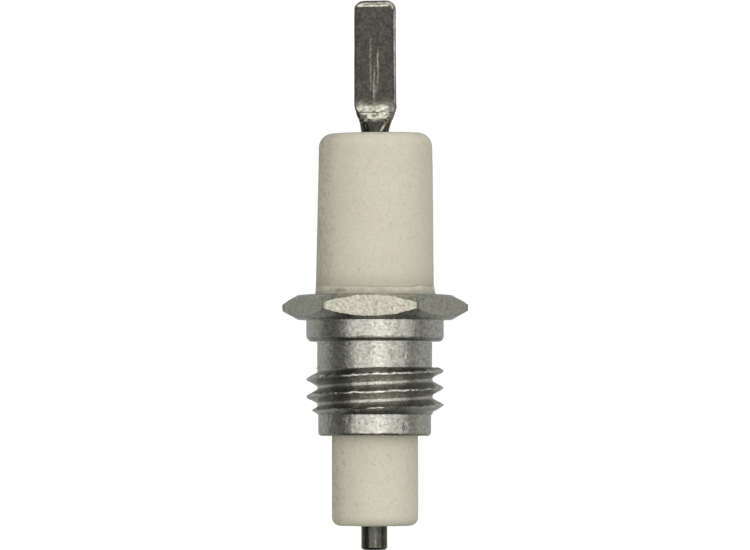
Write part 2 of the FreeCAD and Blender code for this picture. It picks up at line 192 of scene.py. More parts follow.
class Lathe:
    """Makes rings round Z with a fixed number of points, the first over +X."""

    def __init__(self, count):
        self.count = count
        self.angle = np.arange(count) * (math.tau / count)
        self.cosine, self.sine = np.cos(self.angle), np.sin(self.angle)

    def ring(self, radius, z):
        """radius and z: each a number or one value per angle."""
        return place(radius * self.cosine, radius * self.sine, z)

    def rings(self, path):
        return np.array([self.ring(radius, z) for radius, z in path])


class Net:
    """Collects strips of rings, then welds them into one closed surface."""

    def __init__(self):
        self.points, self.faces, self.count = [], [], 0

    def rings(self, grid, shift=0):
        """grid: rings x points x 3. shift joins the last point of a ring to the ring that
        many further on, which is how a helix closes."""
        rows, columns = grid.shape[:2]
        base = self.count
        self.points.append(grid.reshape(-1, 3))
        self.count += rows * columns
        i = np.arange(rows - 1)
        first = base + i[:, None] * columns + np.arange(columns - 1)[None, :]
        quads = np.stack([first, first + 1, first + columns + 1, first + columns], -1)
        self.faces.append(quads.reshape(-1, 4))
        last = base + i * columns + columns - 1
        joined = base + np.minimum(i + shift, rows - 1) * columns
        joined_next = base + np.minimum(i + 1 + shift, rows - 1) * columns
        self.faces.append(np.stack([last, joined, joined_next, last + columns], -1))

    def cap(self, ring, centre):
        """A fan from a ring to a point in its middle."""
        columns = len(ring)
        base = self.count
        self.points.append(np.vstack([ring, centre[None, :]]))
        self.count += columns + 1
        j = np.arange(columns)
        middle = np.full(columns, base + columns)
        self.faces.append(np.stack([base + j, base + (j + 1) % columns, middle, middle], -1))

    def weld(self, tolerance):
        """Merges equal points and drops the faces that collapse."""
        points = np.vstack(self.points)
        # the odd shift keeps round coordinates off the edges of the welding cells
        key = np.round(points / tolerance + 0.2718281).astype(np.int64)
        _, first, inverse = np.unique(key, axis=0, return_index=True, return_inverse=True)
        faces = inverse.reshape(-1)[np.vstack(self.faces)]
        repeated = faces == np.roll(faces, -1, axis=1)
        repeats = repeated.sum(1)
        folded = (faces[:, 0] == faces[:, 2]) | (faces[:, 1] == faces[:, 3])
        quads = faces[(repeats == 0) & ~folded]
        three = (repeats == 1) & ~folded
        tris = faces[three][~repeated[three]].reshape(-1, 3)
        return points[first], quads, tris


# ------------------------------------------------------------------ surfaces and meshes
def volume(points, quads, tris):
    """Six times the enclosed volume, negative if the faces look inwards."""
    total = 0.0
    for faces in (quads, tris):
        for k in range(1, faces.shape[1] - 1):
            first, second, third = (points[faces[:, j]] for j in (0, k, k + 1))
            total += np.einsum("ij,ij->i", first, np.cross(second, third)).sum()
    return total


def outward_normals(points, quads, tris):
    normals = np.zeros_like(points)
    quad_normals = np.cross(
        points[quads[:, 2]] - points[quads[:, 0]], points[quads[:, 3]] - points[quads[:, 1]]
    )
    tri_normals = np.cross(
        points[tris[:, 1]] - points[tris[:, 0]], points[tris[:, 2]] - points[tris[:, 0]]
    )
    for faces, face_normals in ((quads, quad_normals), (tris, tri_normals)):
        for k in range(faces.shape[1]):
            np.add.at(normals, faces[:, k], face_normals)
    normals = normals / np.maximum(np.linalg.norm(normals, axis=1, keepdims=True), 1e-12)
    return -normals if volume(points, quads, tris) < 0 else normals


class Surface:
    """A welded net, with the values that wear and marks are worked out from."""

    def __init__(self, net, tolerance=2e-4):
        self.points, self.quads, self.tris = net.weld(tolerance)
        self.normal = outward_normals(self.points, self.quads, self.tris)
        self.x, self.y, self.z = self.points.T
        self.radius = np.hypot(self.x, self.y)
        self.angle = np.arctan2(self.y, self.x)

    def pushed(self, push):
        """The points moved along their normals."""
        return self.points + self.normal * push[:, None]

    def build(self, name, points, sharp_degrees, **marks):
        """Writes the mesh in metres, facing outwards. marks: values per vertex that the
        material reads."""
        quads, tris = self.quads, self.tris
        if volume(points, quads, tris) < 0:
            quads, tris = quads[:, ::-1], tris[:, ::-1]
        quad_count, tri_count = len(quads), len(tris)
        face_count = quad_count + tri_count
        corners = np.concatenate([quads.ravel(), tris.ravel()]).astype(np.int32)
        starts = np.concatenate([np.arange(quad_count) * 4, quad_count * 4 + np.arange(tri_count) * 3])
        totals = np.concatenate([np.full(quad_count, 4), np.full(tri_count, 3)])
        mesh = bpy.data.meshes.new(name)
        mesh.vertices.add(len(points))
        mesh.vertices.foreach_set("co", (points * MM).astype(np.float32).ravel())
        mesh.loops.add(len(corners))
        mesh.loops.foreach_set("vertex_index", corners)
        mesh.polygons.add(face_count)
        mesh.polygons.foreach_set("loop_start", starts.astype(np.int32))
        mesh.polygons.foreach_set("loop_total", totals.astype(np.int32))
        mesh.polygons.foreach_set("use_smooth", np.ones(face_count, bool))
        mesh.update(calc_edges=True)
        mesh.validate()
        mesh.set_sharp_from_angle(angle=math.radians(sharp_degrees))
        for mark, values in marks.items():
            layer = mesh.attributes.new(mark, "FLOAT", "POINT")
            layer.data.foreach_set("value", np.asarray(values, np.float32))
        piece = bpy.data.objects.new(name, mesh)
        bpy.context.scene.collection.objects.link(piece)
        return piece


# ------------------------------------------------------------------ shell: thread
# heights round each crest at which the thread has a ring
THREAD_STATIONS = np.array([
    -1.0, -0.93, -0.87, -0.815, -0.76, -0.62, -0.48, -0.34, -0.25, -0.17, -0.09, -0.045,
    0.0, 0.045, 0.09, 0.17, 0.25, 0.34, 0.48, 0.62, 0.76, 0.815, 0.87, 0.93,
])


def from_crest(z, angle):
    """Height above the nearest crest of the helix."""
    offset = z - CREST_Z - PITCH * angle / math.tau
    return offset - PITCH * np.round(offset / PITCH)


def flank_radius(distance):
    return COLLAR_RADIUS - (distance - CREST_HALF_WIDTH) / SLOPE_30


def thread_radius(z, angle):
    """The collar's radius with its lower cone, cut by the thread tool."""
    cone = np.clip((CONE_TOP - z) / (CONE_TOP - CONE_END), 0, 1)
    blank = COLLAR_RADIUS - (COLLAR_RADIUS - PILOT_RADIUS) * cone
    distance = np.abs(from_crest(z, angle))
    flank = np.where(distance < CREST_HALF_WIDTH, COLLAR_RADIUS + 0.2, flank_radius(distance))
    softness = 0.05  # rounds the change from flank to root
    excess = np.clip((flank - ROOT_RADIUS) / softness, -40, 40)
    root = ROOT_RADIUS + softness * np.log1p(np.exp(excess)) - 0.012
    return np.minimum(blank, np.where(flank > ROOT_RADIUS + 1.0, flank, root))


def thread_rings(lathe):
    """Rings that follow the helix, with unevenly worn crests."""
    first = CREST_Z - 4 * PITCH
    start_z = np.concatenate([first + k * PITCH + THREAD_STATIONS for k in range(6)])
    start_z = start_z[start_z > CONE_END - PITCH - 0.9]
    z = start_z[:, None] + (PITCH * lathe.angle / math.tau)[None, :]
    offset = from_crest(start_z, 0)[:, None]
    crest_z = z - offset
    on_crest = lathe.ring(COLLAR_RADIUS, crest_z)
    chip = 0.036 + layers(on_crest, (0.034, (0.75, 0.75, 1.0), 61), (0.026, (0.36, 0.36, 1.0), 62))
    chip = np.maximum(chip + 0.12 * peaks(on_crest, (0.9, 0.9, 1.0), seed=65, above=0.5), 0.0)
    # the deeper the wear, the wider the flat on the crest
    edge = CREST_HALF_WIDTH + chip * SLOPE_30
    for station, moved in ((0.045, edge * 0.5), (0.09, edge), (0.17, edge + 0.035)):
        at_station = np.abs(np.abs(offset) - station) < 1e-4
        z = np.where(at_station, crest_z + np.sign(offset) * moved, z)
    z = np.clip(z, CONE_END, THREAD_TOP)
    radius = np.minimum(thread_radius(z, lathe.angle), COLLAR_RADIUS - chip)
    return lathe.ring(radius, z)


# ------------------------------------------------------------------ shell: hexagon
def angle_from_corner(angle):
    return math.pi / 6 - np.abs((angle % (math.pi / 3)) - math.pi / 6)


def hexagon_radius(angle):
    corner_angle = angle_from_corner(angle)
    flat = HEX_HALF_WIDTH / np.cos(math.pi / 6 - corner_angle)
    centre = (HEX_HALF_WIDTH - HEX_CORNER) / np.cos(math.pi / 6)
    across = centre * np.sin(corner_angle)
    depth = np.sqrt(np.maximum(HEX_CORNER**2 - across**2, 0))
    rounded = centre * np.cos(corner_angle) + depth
    return np.where(across < HEX_CORNER * math.sin(math.pi / 6), rounded, flat)


def hexagon_edges(lathe, hex_radius):
    """Ragged heights of the lower and upper edge of the hexagon's sides."""
    rim = lathe.ring(hex_radius, 0.0)
    low_rag = layers(rim, (0.048, 0.34, 5), (0.040, 0.95, 6))
    high_rag = layers(rim + [0, 0, 9], (0.062, 0.36, 7), (0.052, 0.95, 8))
    nick = peaks(rim, 0.42, seed=9, above=0.62) * 0.28
    chamfer = (hex_radius - CHAMFER_RADIUS) * SLOPE_30
    return chamfer + low_rag + nick, HEX_TOP - chamfer + high_rag - nick * 0.6


def shell_net(lathe, hex_radius, edge_low, edge_high):
    net = Net()
    pilot_round = 0.4
    bore_and_pilot = (
        lines(
            (SHELL_BORE, CUP_FLOOR),
            (SHELL_BORE, SHELL_END + 0.2, 5),
            (SHELL_BORE + 0.2, SHELL_END, 2),
            (PILOT_RADIUS - pilot_round, SHELL_END, 5),
        )
        + arc((PILOT_RADIUS - pilot_round, SHELL_END + pilot_round), pilot_round, -90, 0, 7)
        + lines((PILOT_RADIUS, SHELL_END + pilot_round), (PILOT_RADIUS, CONE_END, 16))
    )
    net.rings(lathe.rings(bore_and_pilot))

    thread = thread_rings(lathe)
    net.rings(thread, shift=len(THREAD_STATIONS))
    thread_top_radius = np.hypot(thread[-1, :, 0], thread[-1, :, 1])

    fillet = 0.04  # between relief and collar
    neck_round = 0.2  # between collar and hexagon
    cup_edge = HEX_TOP - CUP_MOUTH_DEPTH
    relief_to_cup = (
        lines(
            (thread_top_radius, THREAD_TOP),
            (RELIEF_RADIUS, THREAD_TOP, 4),
            (RELIEF_RADIUS, -2.85, 18),
            (RELIEF_RADIUS, -2.80, 2),
            (RELIEF_RADIUS, RELIEF_TOP, 7),
        )
        + arc((RELIEF_RADIUS + fillet, RELIEF_TOP), fillet, 180, 90, 3)
        + lines(
            (RELIEF_RADIUS + fillet, COLLAR_FACE),
            (COLLAR_RADIUS - COLLAR_ROUND, COLLAR_FACE, 4),
        )
        + arc(
            (COLLAR_RADIUS - COLLAR_ROUND, COLLAR_FACE + COLLAR_ROUND), COLLAR_ROUND, -90, 0, 9
        )
        + lines((COLLAR_RADIUS, COLLAR_FACE + COLLAR_ROUND), (COLLAR_RADIUS, -neck_round, 12))
        + arc((COLLAR_RADIUS + neck_round, -neck_round), neck_round, 180, 90, 5)
        + lines(
            (COLLAR_RADIUS + neck_round, 0.0),
            (CHAMFER_RADIUS - 0.05, 0.0, 4),
            (CHAMFER_RADIUS - 0.02, 0.004, 2),
            (CHAMFER_RADIUS + 0.03, 0.021, 2),
            (hex_radius, edge_low, 6),
            (hex_radius, edge_high, 14),
            (CHAMFER_RADIUS + 0.03, HEX_TOP - 0.021, 6),
            (CHAMFER_RADIUS - 0.02, HEX_TOP - 0.004, 2),
            (CHAMFER_RADIUS - 0.05, HEX_TOP, 2),
            (CUP_MOUTH_RADIUS, HEX_TOP, 6),
            (CUP_RADIUS, cup_edge, 2),
            (CUP_RADIUS, CUP_FLOOR, 3),
            (SHELL_BORE, CUP_FLOOR, 2),
        )
    )
    net.rings(lathe.rings(relief_to_cup))
    # close the lower end of the thread onto the pilot
    low_radius = thread_radius(CONE_END, lathe.angle)
    net.rings(lathe.rings([(low_radius, CONE_END), (PILOT_RADIUS, CONE_END)]))
    return net


# ------------------------------------------------------------------ shell: wear, marks and painted shade
# small nicks in the pilot: angle in degrees, height, size
PILOT_NICKS = (
    (-55.5, -12.15, 0.11), (-54.3, -12.45, 0.13), (-53.0, -12.2, 0.09), (-55.2, -12.75, 0.10),
    (-51.9, -12.6, 0.12), (-56.6, -12.55, 0.07), (-53.4, -12.85, 0.08),
)


def shell_regions(skin):
    """Weights per vertex for the parts of the shell that wear differently."""
    z, radius = skin.z, skin.radius
    inner = (z > SHELL_END + 0.001) & (radius < np.where(z > -1.7, 7.45, 5.5))
    beside = (z > 0.05) & (z < HEX_TOP - 0.05) & (radius > 9.2)
    flat = beside * (1 - smooth(0.25, 0.45, np.abs(skin.normal[:, 2])))
    thread = (z < THREAD_TOP + 0.001) & (z > CONE_END - 0.001) & (radius > PILOT_RADIUS + 0.01)
    nicks = np.zeros(len(z))
    for degrees, nick_z, size in PILOT_NICKS:
        apart = (skin.angle - math.radians(degrees) + math.pi) % math.tau - math.pi
        spot = np.exp(-(((apart * PILOT_RADIUS) ** 2 + (z - nick_z) ** 2) / size**2))
        nicks = np.maximum(nicks, spot * (np.abs(radius - PILOT_RADIUS) < 0.05))
    offset = from_crest(z, skin.angle % math.tau)
    near_crest = (radius < flank_radius(np.abs(offset)) + 0.012) & (np.abs(offset) < 0.2)
    return SimpleNamespace(
        flat=flat,
        turned=(~inner) * (1 - flat) * (~thread),
        thread=thread,
        nicks=nicks,
        offset=offset,
        crest=thread & near_crest & (radius > PILOT_RADIUS + 0.4),
    )


def worn_shell(skin, region):
    points, z, radius = skin.points, skin.z, skin.radius
    turned = region.turned
    # granular skin of the hexagon's sides, finer on the turned parts
    push = region.flat * (
        layers(points, (0.022, 0.34, 11), (0.012, 0.85, 12))
        - 0.09 * peaks(points, 0.42, seed=13, above=0.40)
    )
    push += turned * layers(
        points,
        (0.0105, (0.38, 0.38, 0.27), 21),
        (0.005, (0.9, 0.9, 0.6), 22),
        (0.005, (1.8, 1.8, 0.9), 23),
    )
    # turning lines round the axis
    push += turned * 0.0030 * noise(place(3.1, 1.7, z), (1, 1, 0.16), seed=31)
    push -= turned * 0.016 * (radius < 7.0)
    # a few pits and knocks
    push -= turned * peaks(points, 0.55, seed=41, above=0.66) * 0.11
    push -= 0.07 * region.nicks
    # soft ripple on the flanks, with faint tool marks that run with the helix
    below_crest = region.thread * (1 - region.crest)
    push += below_crest * layers(points, (0.008, 0.4, 51), (0.010, 1.2, 52))
    along_helix = place(region.offset, 0, skin.angle * 2.2)
    push += below_crest * 0.005 * noise(along_helix, (0.13, 1, 1), seed=53)
    moved = skin.pushed(push)

    # relief and pilot run a few hundredths out of true to the collar
    moved[:, 0] -= 0.046 * turned * (radius < 7.0) * (z < COLLAR_FACE)
    # the collar's lower rim is rubbed rounder towards -X
    rim = turned * np.exp(
        -(((z + 2.42) / 0.22) ** 2 + ((radius - COLLAR_RADIUS + 0.1) / 0.25) ** 2)
    )
    rubbed = 0.09 * rim * smooth(-0.72, -0.98, skin.x / np.maximum(radius, 1.0))
    moved -= rubbed[:, None] * place(np.cos(skin.angle), np.sin(skin.angle), -0.8)
    # the crests wander up and down
    near_crest = region.thread * (1 - smooth(0.22, 0.55, np.abs(region.offset)))
    wander = layers(points, (0.050, (0.95, 0.95, 3), 63), (0.040, (0.42, 0.42, 3), 64))
    moved[:, 2] += near_crest * wander
    # the collar's lower face is not quite square to the axis
    face = bell(z - COLLAR_FACE, 0.35) * (radius > 6.4) * (radius < 8.2)
    moved[:, 2] += face * (0.045 * skin.y / COLLAR_RADIUS - 0.045)
    # lower edges of collar and pilot are worn unevenly
    for edge_z, edge_radius, seed in (
        (COLLAR_FACE, COLLAR_RADIUS, 71),
        (SHELL_END, PILOT_RADIUS, 72),
    ):
        near = np.exp(-(((z - edge_z) / 0.28) ** 2 + ((radius - edge_radius) / 0.30) ** 2))
        moved[:, 2] += near * layers(points, (0.045, 0.60, seed), (0.070, 1.7, seed + 5))
    # nothing stands outside the CAD outline
    moved[:, 2] = np.clip(moved[:, 2], SHELL_END, HEX_TOP)
    return moved


# painted shade on the shell's corners, edges and rounds, with dark marks in the pilot's nicks
def shell_soot(skin, region, edge_low):
    z, radius = skin.z, skin.radius
    # painted shade on the hexagon's upright corners, and a painted shadow line along its lower edge
    upright = (radius > 9.3) & (z > 0.92) & (z < HEX_TOP - 0.92)
    corner_angle = angle_from_corner(skin.angle)
    off_y_corner = np.abs(np.sin(skin.angle)) < math.sin(math.pi / 3) - 0.004
    beside = (0.45 + 0.4 * off_y_corner) * (corner_angle < 0.016)
    soot = upright * ((corner_angle < 0.003) + beside)
    count = len(edge_low)
    station = np.round((skin.angle % math.tau) / math.tau * count).astype(int) % count
    lower_line = (radius > 9.2) * (np.abs(z - edge_low[station]) < 0.015)
    soot = np.maximum(soot, 0.45 * lower_line)
    soot = np.clip(soot, 0, 1) * np.clip(0.95 + 0.4 * noise(skin.points, 0.5, seed=91), 0, 1)
    for patch in (
        # painted shade on the top face, and on the neck under the hexagon
        0.38 * (z > HEX_TOP - 0.03) * (radius > 7.5),
        0.27 * (z < 0.10) * (z > -0.17) * (radius > COLLAR_RADIUS - 0.01) * (radius < 9.2),
        # painted shade on the lower rounds of collar and pilot
        0.50 * smooth(-2.08, -2.26, z) * (z > -2.6) * (radius > 7.2) * (radius < 8.2),
        0.40
        * smooth(SHELL_END + 0.26, SHELL_END + 0.12, z)
        * (radius > 6.0)
        * (radius < 6.7),
        # dark marks in the pilot's nicks
        0.9 * region.nicks,
    ):
        soot = np.maximum(soot, patch)
    return soot


def build_shell():
    lathe = Lathe(480)
    hex_radius = hexagon_radius(lathe.angle)
    edge_low, edge_high = hexagon_edges(lathe, hex_radius)
    skin = Surface(shell_net(lathe, hex_radius, edge_low, edge_high))
    region = shell_regions(skin)
    z, radius = skin.z, skin.radius
    # a painted highlight: a bright line at the top of the relief
    patchy = np.clip(0.75 + 0.9 * noise(skin.points, (1.4, 1.4, 9), seed=92), 0, 1)
    relief_line = (radius < 7.2) * (radius > 6.3) * bell(z + 2.61, 0.06) * patchy
    # grime in the thread, with painted shade on the faces that look up, most on the highest ones
    root = region.thread * (1 - smooth(ROOT_RADIUS + 0.05, ROOT_RADIUS + 0.22, radius))
    highest = smooth(THREAD_TOP - 1.9, THREAD_TOP - 1.2, z)
    looks_up = smooth(-0.1, 0.4, skin.normal[:, 2])
    grime = region.thread * (1 - 0.75 * root) * (0.28 + (0.40 + 0.45 * highest) * looks_up)
    return skin.build(
        "shell_turned",
        worn_shell(skin, region),
        sharp_degrees=33,
        flat_side=region.flat,
        # the crest mark holds the rubbed crests and the relief's painted highlight
        crest=np.maximum(region.crest, relief_line),
        soot=shell_soot(skin, region, edge_low),
        threaded=grime,
    )


# ------------------------------------------------------------------ insulator
def barrel_lean(z):
    """The barrel stands a few hundredths out of true along X."""
    return np.interp(z, [-1.5, 2.8, 18.5, 22.0], [0.0, -0.03, 0.080, 0.055])


def barrel_radius(z):
    return BARREL_FOOT_RADIUS - BARREL_TAPER * (z - HEX_TOP)


def insulator_path():
    top = BARREL_TOP + 0.04
    bore_floor = top - 6.0
    mouth_round = 0.2
    crown, across, down = 0.07, 1.58, 1.68  # rise of the end face, and its edge's round
    step_round = 0.3
    nose_round = 0.95
    tip_round = 0.15
    shoulder_z = top - crown - down
    crown_edge = [
        (
            BARREL_TOP_RADIUS - across + (across + 0.02) * math.cos(math.radians(degrees)),
            shoulder_z + down * math.sin(math.radians(degrees)),
        )
        for degrees in np.linspace(90, 0, 18)
    ]
    return (
        lines(
            (NOSE_BORE, bore_floor),
            (BARREL_BORE, bore_floor, 3),
            (BARREL_BORE, top - mouth_round, 4),
        )
        + arc((3.0, top - mouth_round), mouth_round, 180, 90, 4)
        + lines((3.0, top), (BARREL_TOP_RADIUS - across - 0.02, top - crown + 0.001, 12))
        + crown_edge
        + lines(
            (BARREL_TOP_RADIUS + BARREL_TAPER * (crown + down), shoulder_z),
            (BARREL_FOOT_RADIUS, HEX_TOP, 90),
            (BARREL_FOOT_RADIUS, -0.9, 6),
        )
        + arc((BARREL_FOOT_RADIUS - step_round, -0.9), step_round, 0, -90, 4)
        + lines((BARREL_FOOT_RADIUS - step_round, -1.2), (5.3, -1.2, 3))
        + arc((5.3, -1.5), step_round, 90, 180, 4)
        + lines((NOSE_RADIUS, -1.5), (NOSE_RADIUS, NOSE_END + nose_round, 84))
        + arc((NOSE_RADIUS - nose_round, NOSE_END + nose_round), nose_round, 0, -90, 14)
        + lines((NOSE_RADIUS - nose_round, NOSE_END), (1.75, NOSE_END, 12))
        + arc((1.75, NOSE_END + tip_round), tip_round, -90, -180, 3)
        + lines((NOSE_BORE, NOSE_END + tip_round), (NOSE_BORE, bore_floor, 6))
    )


def build_insulator():
    net = Net()
    net.rings(Lathe(360).rings(insulator_path()))
    skin = Surface(net)
    points, z, radius = skin.points, skin.z, skin.radius

    seen = ((z > HEX_TOP) & (radius > 2.9)) | ((z < SHELL_END + 0.2) & (radius > 1.7))
    push = layers(points, (0.012, (3.2, 3.2, 5.0), 101), (0.006, 1.1, 102), (0.0028, 0.42, 103))
    push -= 0.012
    push -= peaks(points, 0.6, seed=104, above=0.72) * 0.14
    # small chips along the ends
    ends = bell(z - BARREL_TOP, 0.5) * (radius > 4.6) + bell(z - NOSE_END, 0.5) * (radius > 3.6)
    push -= ends * 0.022 * (noise(points, 1.4, seed=105) * 0.5 + 0.5)
    moved = skin.pushed(push * seen)
    # the end face is not quite square
    tilt = 0.009 * moved[:, 0] + 0.032 * moved[:, 1]
    moved[:, 2] += tilt * smooth(BARREL_TOP - 2.5, BARREL_TOP - 0.3, z)
    moved[:, 0] += barrel_lean(z)

    # handling stains, strong towards -X and faint towards +X
    toward_x = skin.x / np.maximum(radius, 1.0)
    patchy = 0.75 + 0.4 * noise(points, 5.0, seed=107)
    stain = 0.85 * smooth(-0.55, -0.95, toward_x) * patchy + 0.12 * smooth(0.62, 0.9, toward_x)
    # painted shade: a thin dark line round the nose's rim and round the end face, and a darker band
    # towards the nose's end
    nose = (radius > 3.2) * (0.9 + 0.5 * noise(points, 0.9, seed=108))
    nose *= smooth(NOSE_END + 0.34, NOSE_END + 0.04, z)
    nose += 0.34 * smooth(NOSE_END + 1.5, NOSE_END + 0.3, z) * (radius > 3.2) * (z < 0)
    top = (radius > 4.2) * (0.7 + 0.5 * noise(points, 0.9, seed=109))
    top *= smooth(BARREL_TOP - 0.30, BARREL_TOP - 0.02, z)
    # painted shade, darker towards the bead at the barrel's foot
    foot = (1 - smooth(HEX_TOP + 0.7, HEX_TOP + 2.9, z)) * (z > HEX_TOP - 0.5)
    low = np.clip(np.maximum(foot, 1.6 * np.maximum(nose, top)), 0, 1.7)
    return skin.build("insulator_body", moved, sharp_degrees=50, stain=stain, low=low)


# ------------------------------------------------------------------ shoulder cement
# thickness of the bead's film over its height, both as shares of the whole
BEAD_FILM = ((0.0, 0.70), (0.35, 0.80), (0.62, 1.0), (0.86, 0.96), (0.93, 0.74), (0.97, 0.34), (1.0, 0.0))
# heights of the bead's rings, as shares of its height
BEAD_RINGS = (
    0.06, 0.14, 0.22, 0.30, 0.38, 0.46, 0.54, 0.62, 0.70, 0.76, 0.82, 0.86, 0.90, 0.93, 0.96,
    0.98, 1.0,
)


def degrees_from_front(angle):
    """Degrees round Z from -Y, positive towards +X."""
    return np.degrees((angle + math.pi / 2 + math.pi) % math.tau - math.pi)


def bead_path(lathe, degrees):
    """The outline per angle, and the height of the bead's upper edge."""
    circle = lathe.ring(7, 0)
    height = 0.89 + layers(circle, (0.08, 3.1, 201), (0.055, 1.3, 202), (0.022, 0.45, 203))
    height += 0.05 * bell(degrees + 14, 17) - 0.09 * bell(degrees - 27, 10)
    height += 0.22 * window(degrees, 42, 50, 88, 115)
    # how far the foot spreads on the hexagon
    foot = 7.24 + layers(circle, (0.04, 2.2, 204), (0.03, 0.7, 205))
    foot += 0.02 * window(degrees, 55, 85, 120, 150)
    foot -= 0.26 * window(degrees, -50, -75, -125, -150)
    foot = np.minimum(foot, 7.47)
    thickness = (
        0.120
        - 0.085 * smooth(52, 78, degrees)
        + 0.060 * window(degrees, -60, -20, 50, 75)
        + 0.045 * noise(circle, 1.9, seed=208)
    )
    thickness = np.clip(thickness, 0.02, 0.2)
    thickness *= 1 - 0.9 * window(degrees, -52, -72, -125, -150)

    inside = BARREL_FOOT_RADIUS - 0.005
    bottom = -0.9
    cup_edge = HEX_TOP - CUP_MOUTH_DEPTH
    in_mouth = foot < CUP_MOUTH_RADIUS
    mouth = np.minimum(CUP_MOUTH_RADIUS, foot)
    path = [
        (inside, bottom),
        (CUP_RADIUS, bottom),
        (CUP_RADIUS, cup_edge),
        (mouth, np.where(in_mouth, cup_edge + (mouth - CUP_RADIUS), HEX_TOP)),
        (foot, np.where(in_mouth, cup_edge + (foot - CUP_RADIUS) + 0.02, HEX_TOP + 0.01)),
    ]
    # meniscus from the foot to the upper edge
    for t in BEAD_RINGS:
        z = HEX_TOP + height * t
        film = thickness * np.interp(t, *np.transpose(BEAD_FILM)) + 0.012
        curve = (foot - barrel_radius(HEX_TOP) - 0.05) * np.exp(-t * 5.2)
        lump = layers(lathe.ring(7, z), (0.028, 0.55, 206), (0.018, 1.5, 207))
        lump *= 1 - smooth(0.85, 1.0, t)
        path.append((barrel_radius(z) + film + np.maximum(curve, 0) + lump, z))
    path += [
        (barrel_radius(HEX_TOP + height) - 0.02, HEX_TOP + height * 0.995),
        (inside - 0.01, HEX_TOP),
        (inside, bottom),
    ]
    return path, height


def build_shoulder_cement():
    lathe = Lathe(480)
    degrees = degrees_from_front(lathe.angle)
    path, bead_height = bead_path(lathe, degrees)
    net = Net()
    net.rings(lathe.rings(path))
    skin = Surface(net)

    # dark line on the upper edge, darker foot, and one patch left of the front
    around = degrees_from_front(skin.angle)
    order = np.argsort(degrees)
    height = (skin.z - HEX_TOP) / np.interp(around, degrees[order], bead_height[order])
    line = 0.84 - 0.56 * window(around, -24, -40, -125, -150)
    shade = line * smooth(0.90, 0.97, height) + 0.50 * (1 - smooth(0.14, 0.62, height))
    patch = np.exp(-(((around + 32) / 11) ** 2) - ((height - 0.38) / 0.30) ** 2)
    patch *= np.clip(0.7 + 1.1 * noise(skin.points, 0.45, seed=211), 0, 1)
    shade = np.clip(np.maximum(shade, 0.75 * patch), 0, 1)

    moved = skin.points.copy()
    moved[:, 0] += barrel_lean(skin.z) * np.where(skin.radius > 7.0, 0.7, 1.0)
    return skin.build("shoulder_cement_bead", moved, sharp_degrees=60, shade=shade)


# ------------------------------------------------------------------ terminal cement
def ear_radius(cosine, sine):
    """Outline of the rod's pinched ears, never thinner than the wire."""
    wide = EAR_HALF_WIDTH / np.maximum(np.abs(cosine), 1e-6)
    deep = EAR_HALF_DEPTH / np.maximum(np.abs(sine), 1e-6)
    return np.maximum(np.minimum(wide, deep), WIRE_RADIUS)


def build_terminal_cement():
    lathe = Lathe(192)
    low, high = plug_low[2], plug_high[2]
    path = [(WIRE_RADIUS, low), (BARREL_BORE, low), (BARREL_BORE, high - 0.02)]
    # upper face, sunk between the barrel and a rise against the rod
    for t in np.linspace(0, 1, 18):
        radius = lerp(BARREL_BORE, WIRE_RADIUS, t)
        z = high - 0.10 - 0.05 * np.sin(np.pi * t) + 0.12 * bell(1 - t, 0.22)
        z = z + layers(lathe.ring(radius, 0), (0.045, 0.6, 301), (0.02, 0.28, 302))
        path.append((radius, np.minimum(z, high)))
    # cavity around the ears of the rod, turned with the tab
    turned = lathe.angle - TAB_TURN
    ear = ear_radius(np.cos(turned), np.sin(turned))
    path += [(WIRE_RADIUS, 19.3), (ear, 19.2), (ear, 17.4), (WIRE_RADIUS, 17.3), (WIRE_RADIUS, low)]
    net = Net()
    net.rings(lathe.rings(path))
    skin = Surface(net)
    moved = skin.points.copy()
    # only the outer wall leans with the barrel
    outward = np.clip((skin.radius - WIRE_RADIUS) / (BARREL_BORE - WIRE_RADIUS), 0, 1)
    moved[:, 0] += barrel_lean(skin.z) * outward
    return skin.build("terminal_cement_plug", moved, sharp_degrees=50)


# ------------------------------------------------------------------ rod: rings
# neck: z, half width
NECK_WIDTH = (
    (21.2, 1.5), (21.55, 1.545), (22.0, 1.64), (22.35, 1.71), (22.7, 1.79), (23.17, 1.875),
    (23.63, 2.005), (24.08, 2.185), (24.4, 2.30), (24.7, TAB_HALF_WIDTH - 0.012),
    (24.85, TAB_HALF_WIDTH),
)
# neck: z, half depth, falling in two steps to the flat of the tab
NECK_DEPTH = (
    (21.0, 1.5), (21.95, 1.49), (22.6, 1.38), (23.16, 1.27), (23.22, 1.15), (23.30, 1.17),
    (23.42, 1.12), (23.95, 0.90), (24.02, 0.88), (24.07, 0.78), (24.16, 0.775), (24.90, 0.44),
    (25.02, 0.405), (25.15, 0.4),
)
# rounded lower tip: radius, height above the end
WIRE_TIP = ((0.35, 0.0), (0.8, 0.0), (1.15, 0.0), (1.22, 0.01), (1.36, 0.12), (1.46, 0.215), (1.5, 0.27))
TAB_EDGE = 0.16  # break of the tab's long edges


def rod_sections():
    """Angles on the wire and matching places on a square of half width 1, point by point,
    clockwise from the right end of the front."""
    broad, narrow = 92, 36  # points on each broad and narrow side
    half_open = math.radians(33)
    # each side: points, start angle, end angle, start corner, end corner
    sides = (
        (broad, -half_open, -math.pi + half_open, (1, -1), (-1, -1)),
        (narrow, -math.pi + half_open, -math.pi - half_open, (-1, -1), (-1, 1)),
        (broad, -math.pi - half_open, -math.tau + half_open, (-1, 1), (1, 1)),
        (narrow, -math.tau + half_open, -math.tau - half_open, (1, 1), (1, -1)),
    )
    angles, places = [], []
    for count, start, end, corner, next_corner in sides:
        t = np.arange(count) / count
        angles.append(lerp(start, end, t))
        places.append(lerp(np.array(corner), np.array(next_corner), t[:, None]))
    return np.concatenate(angles), np.vstack(places)


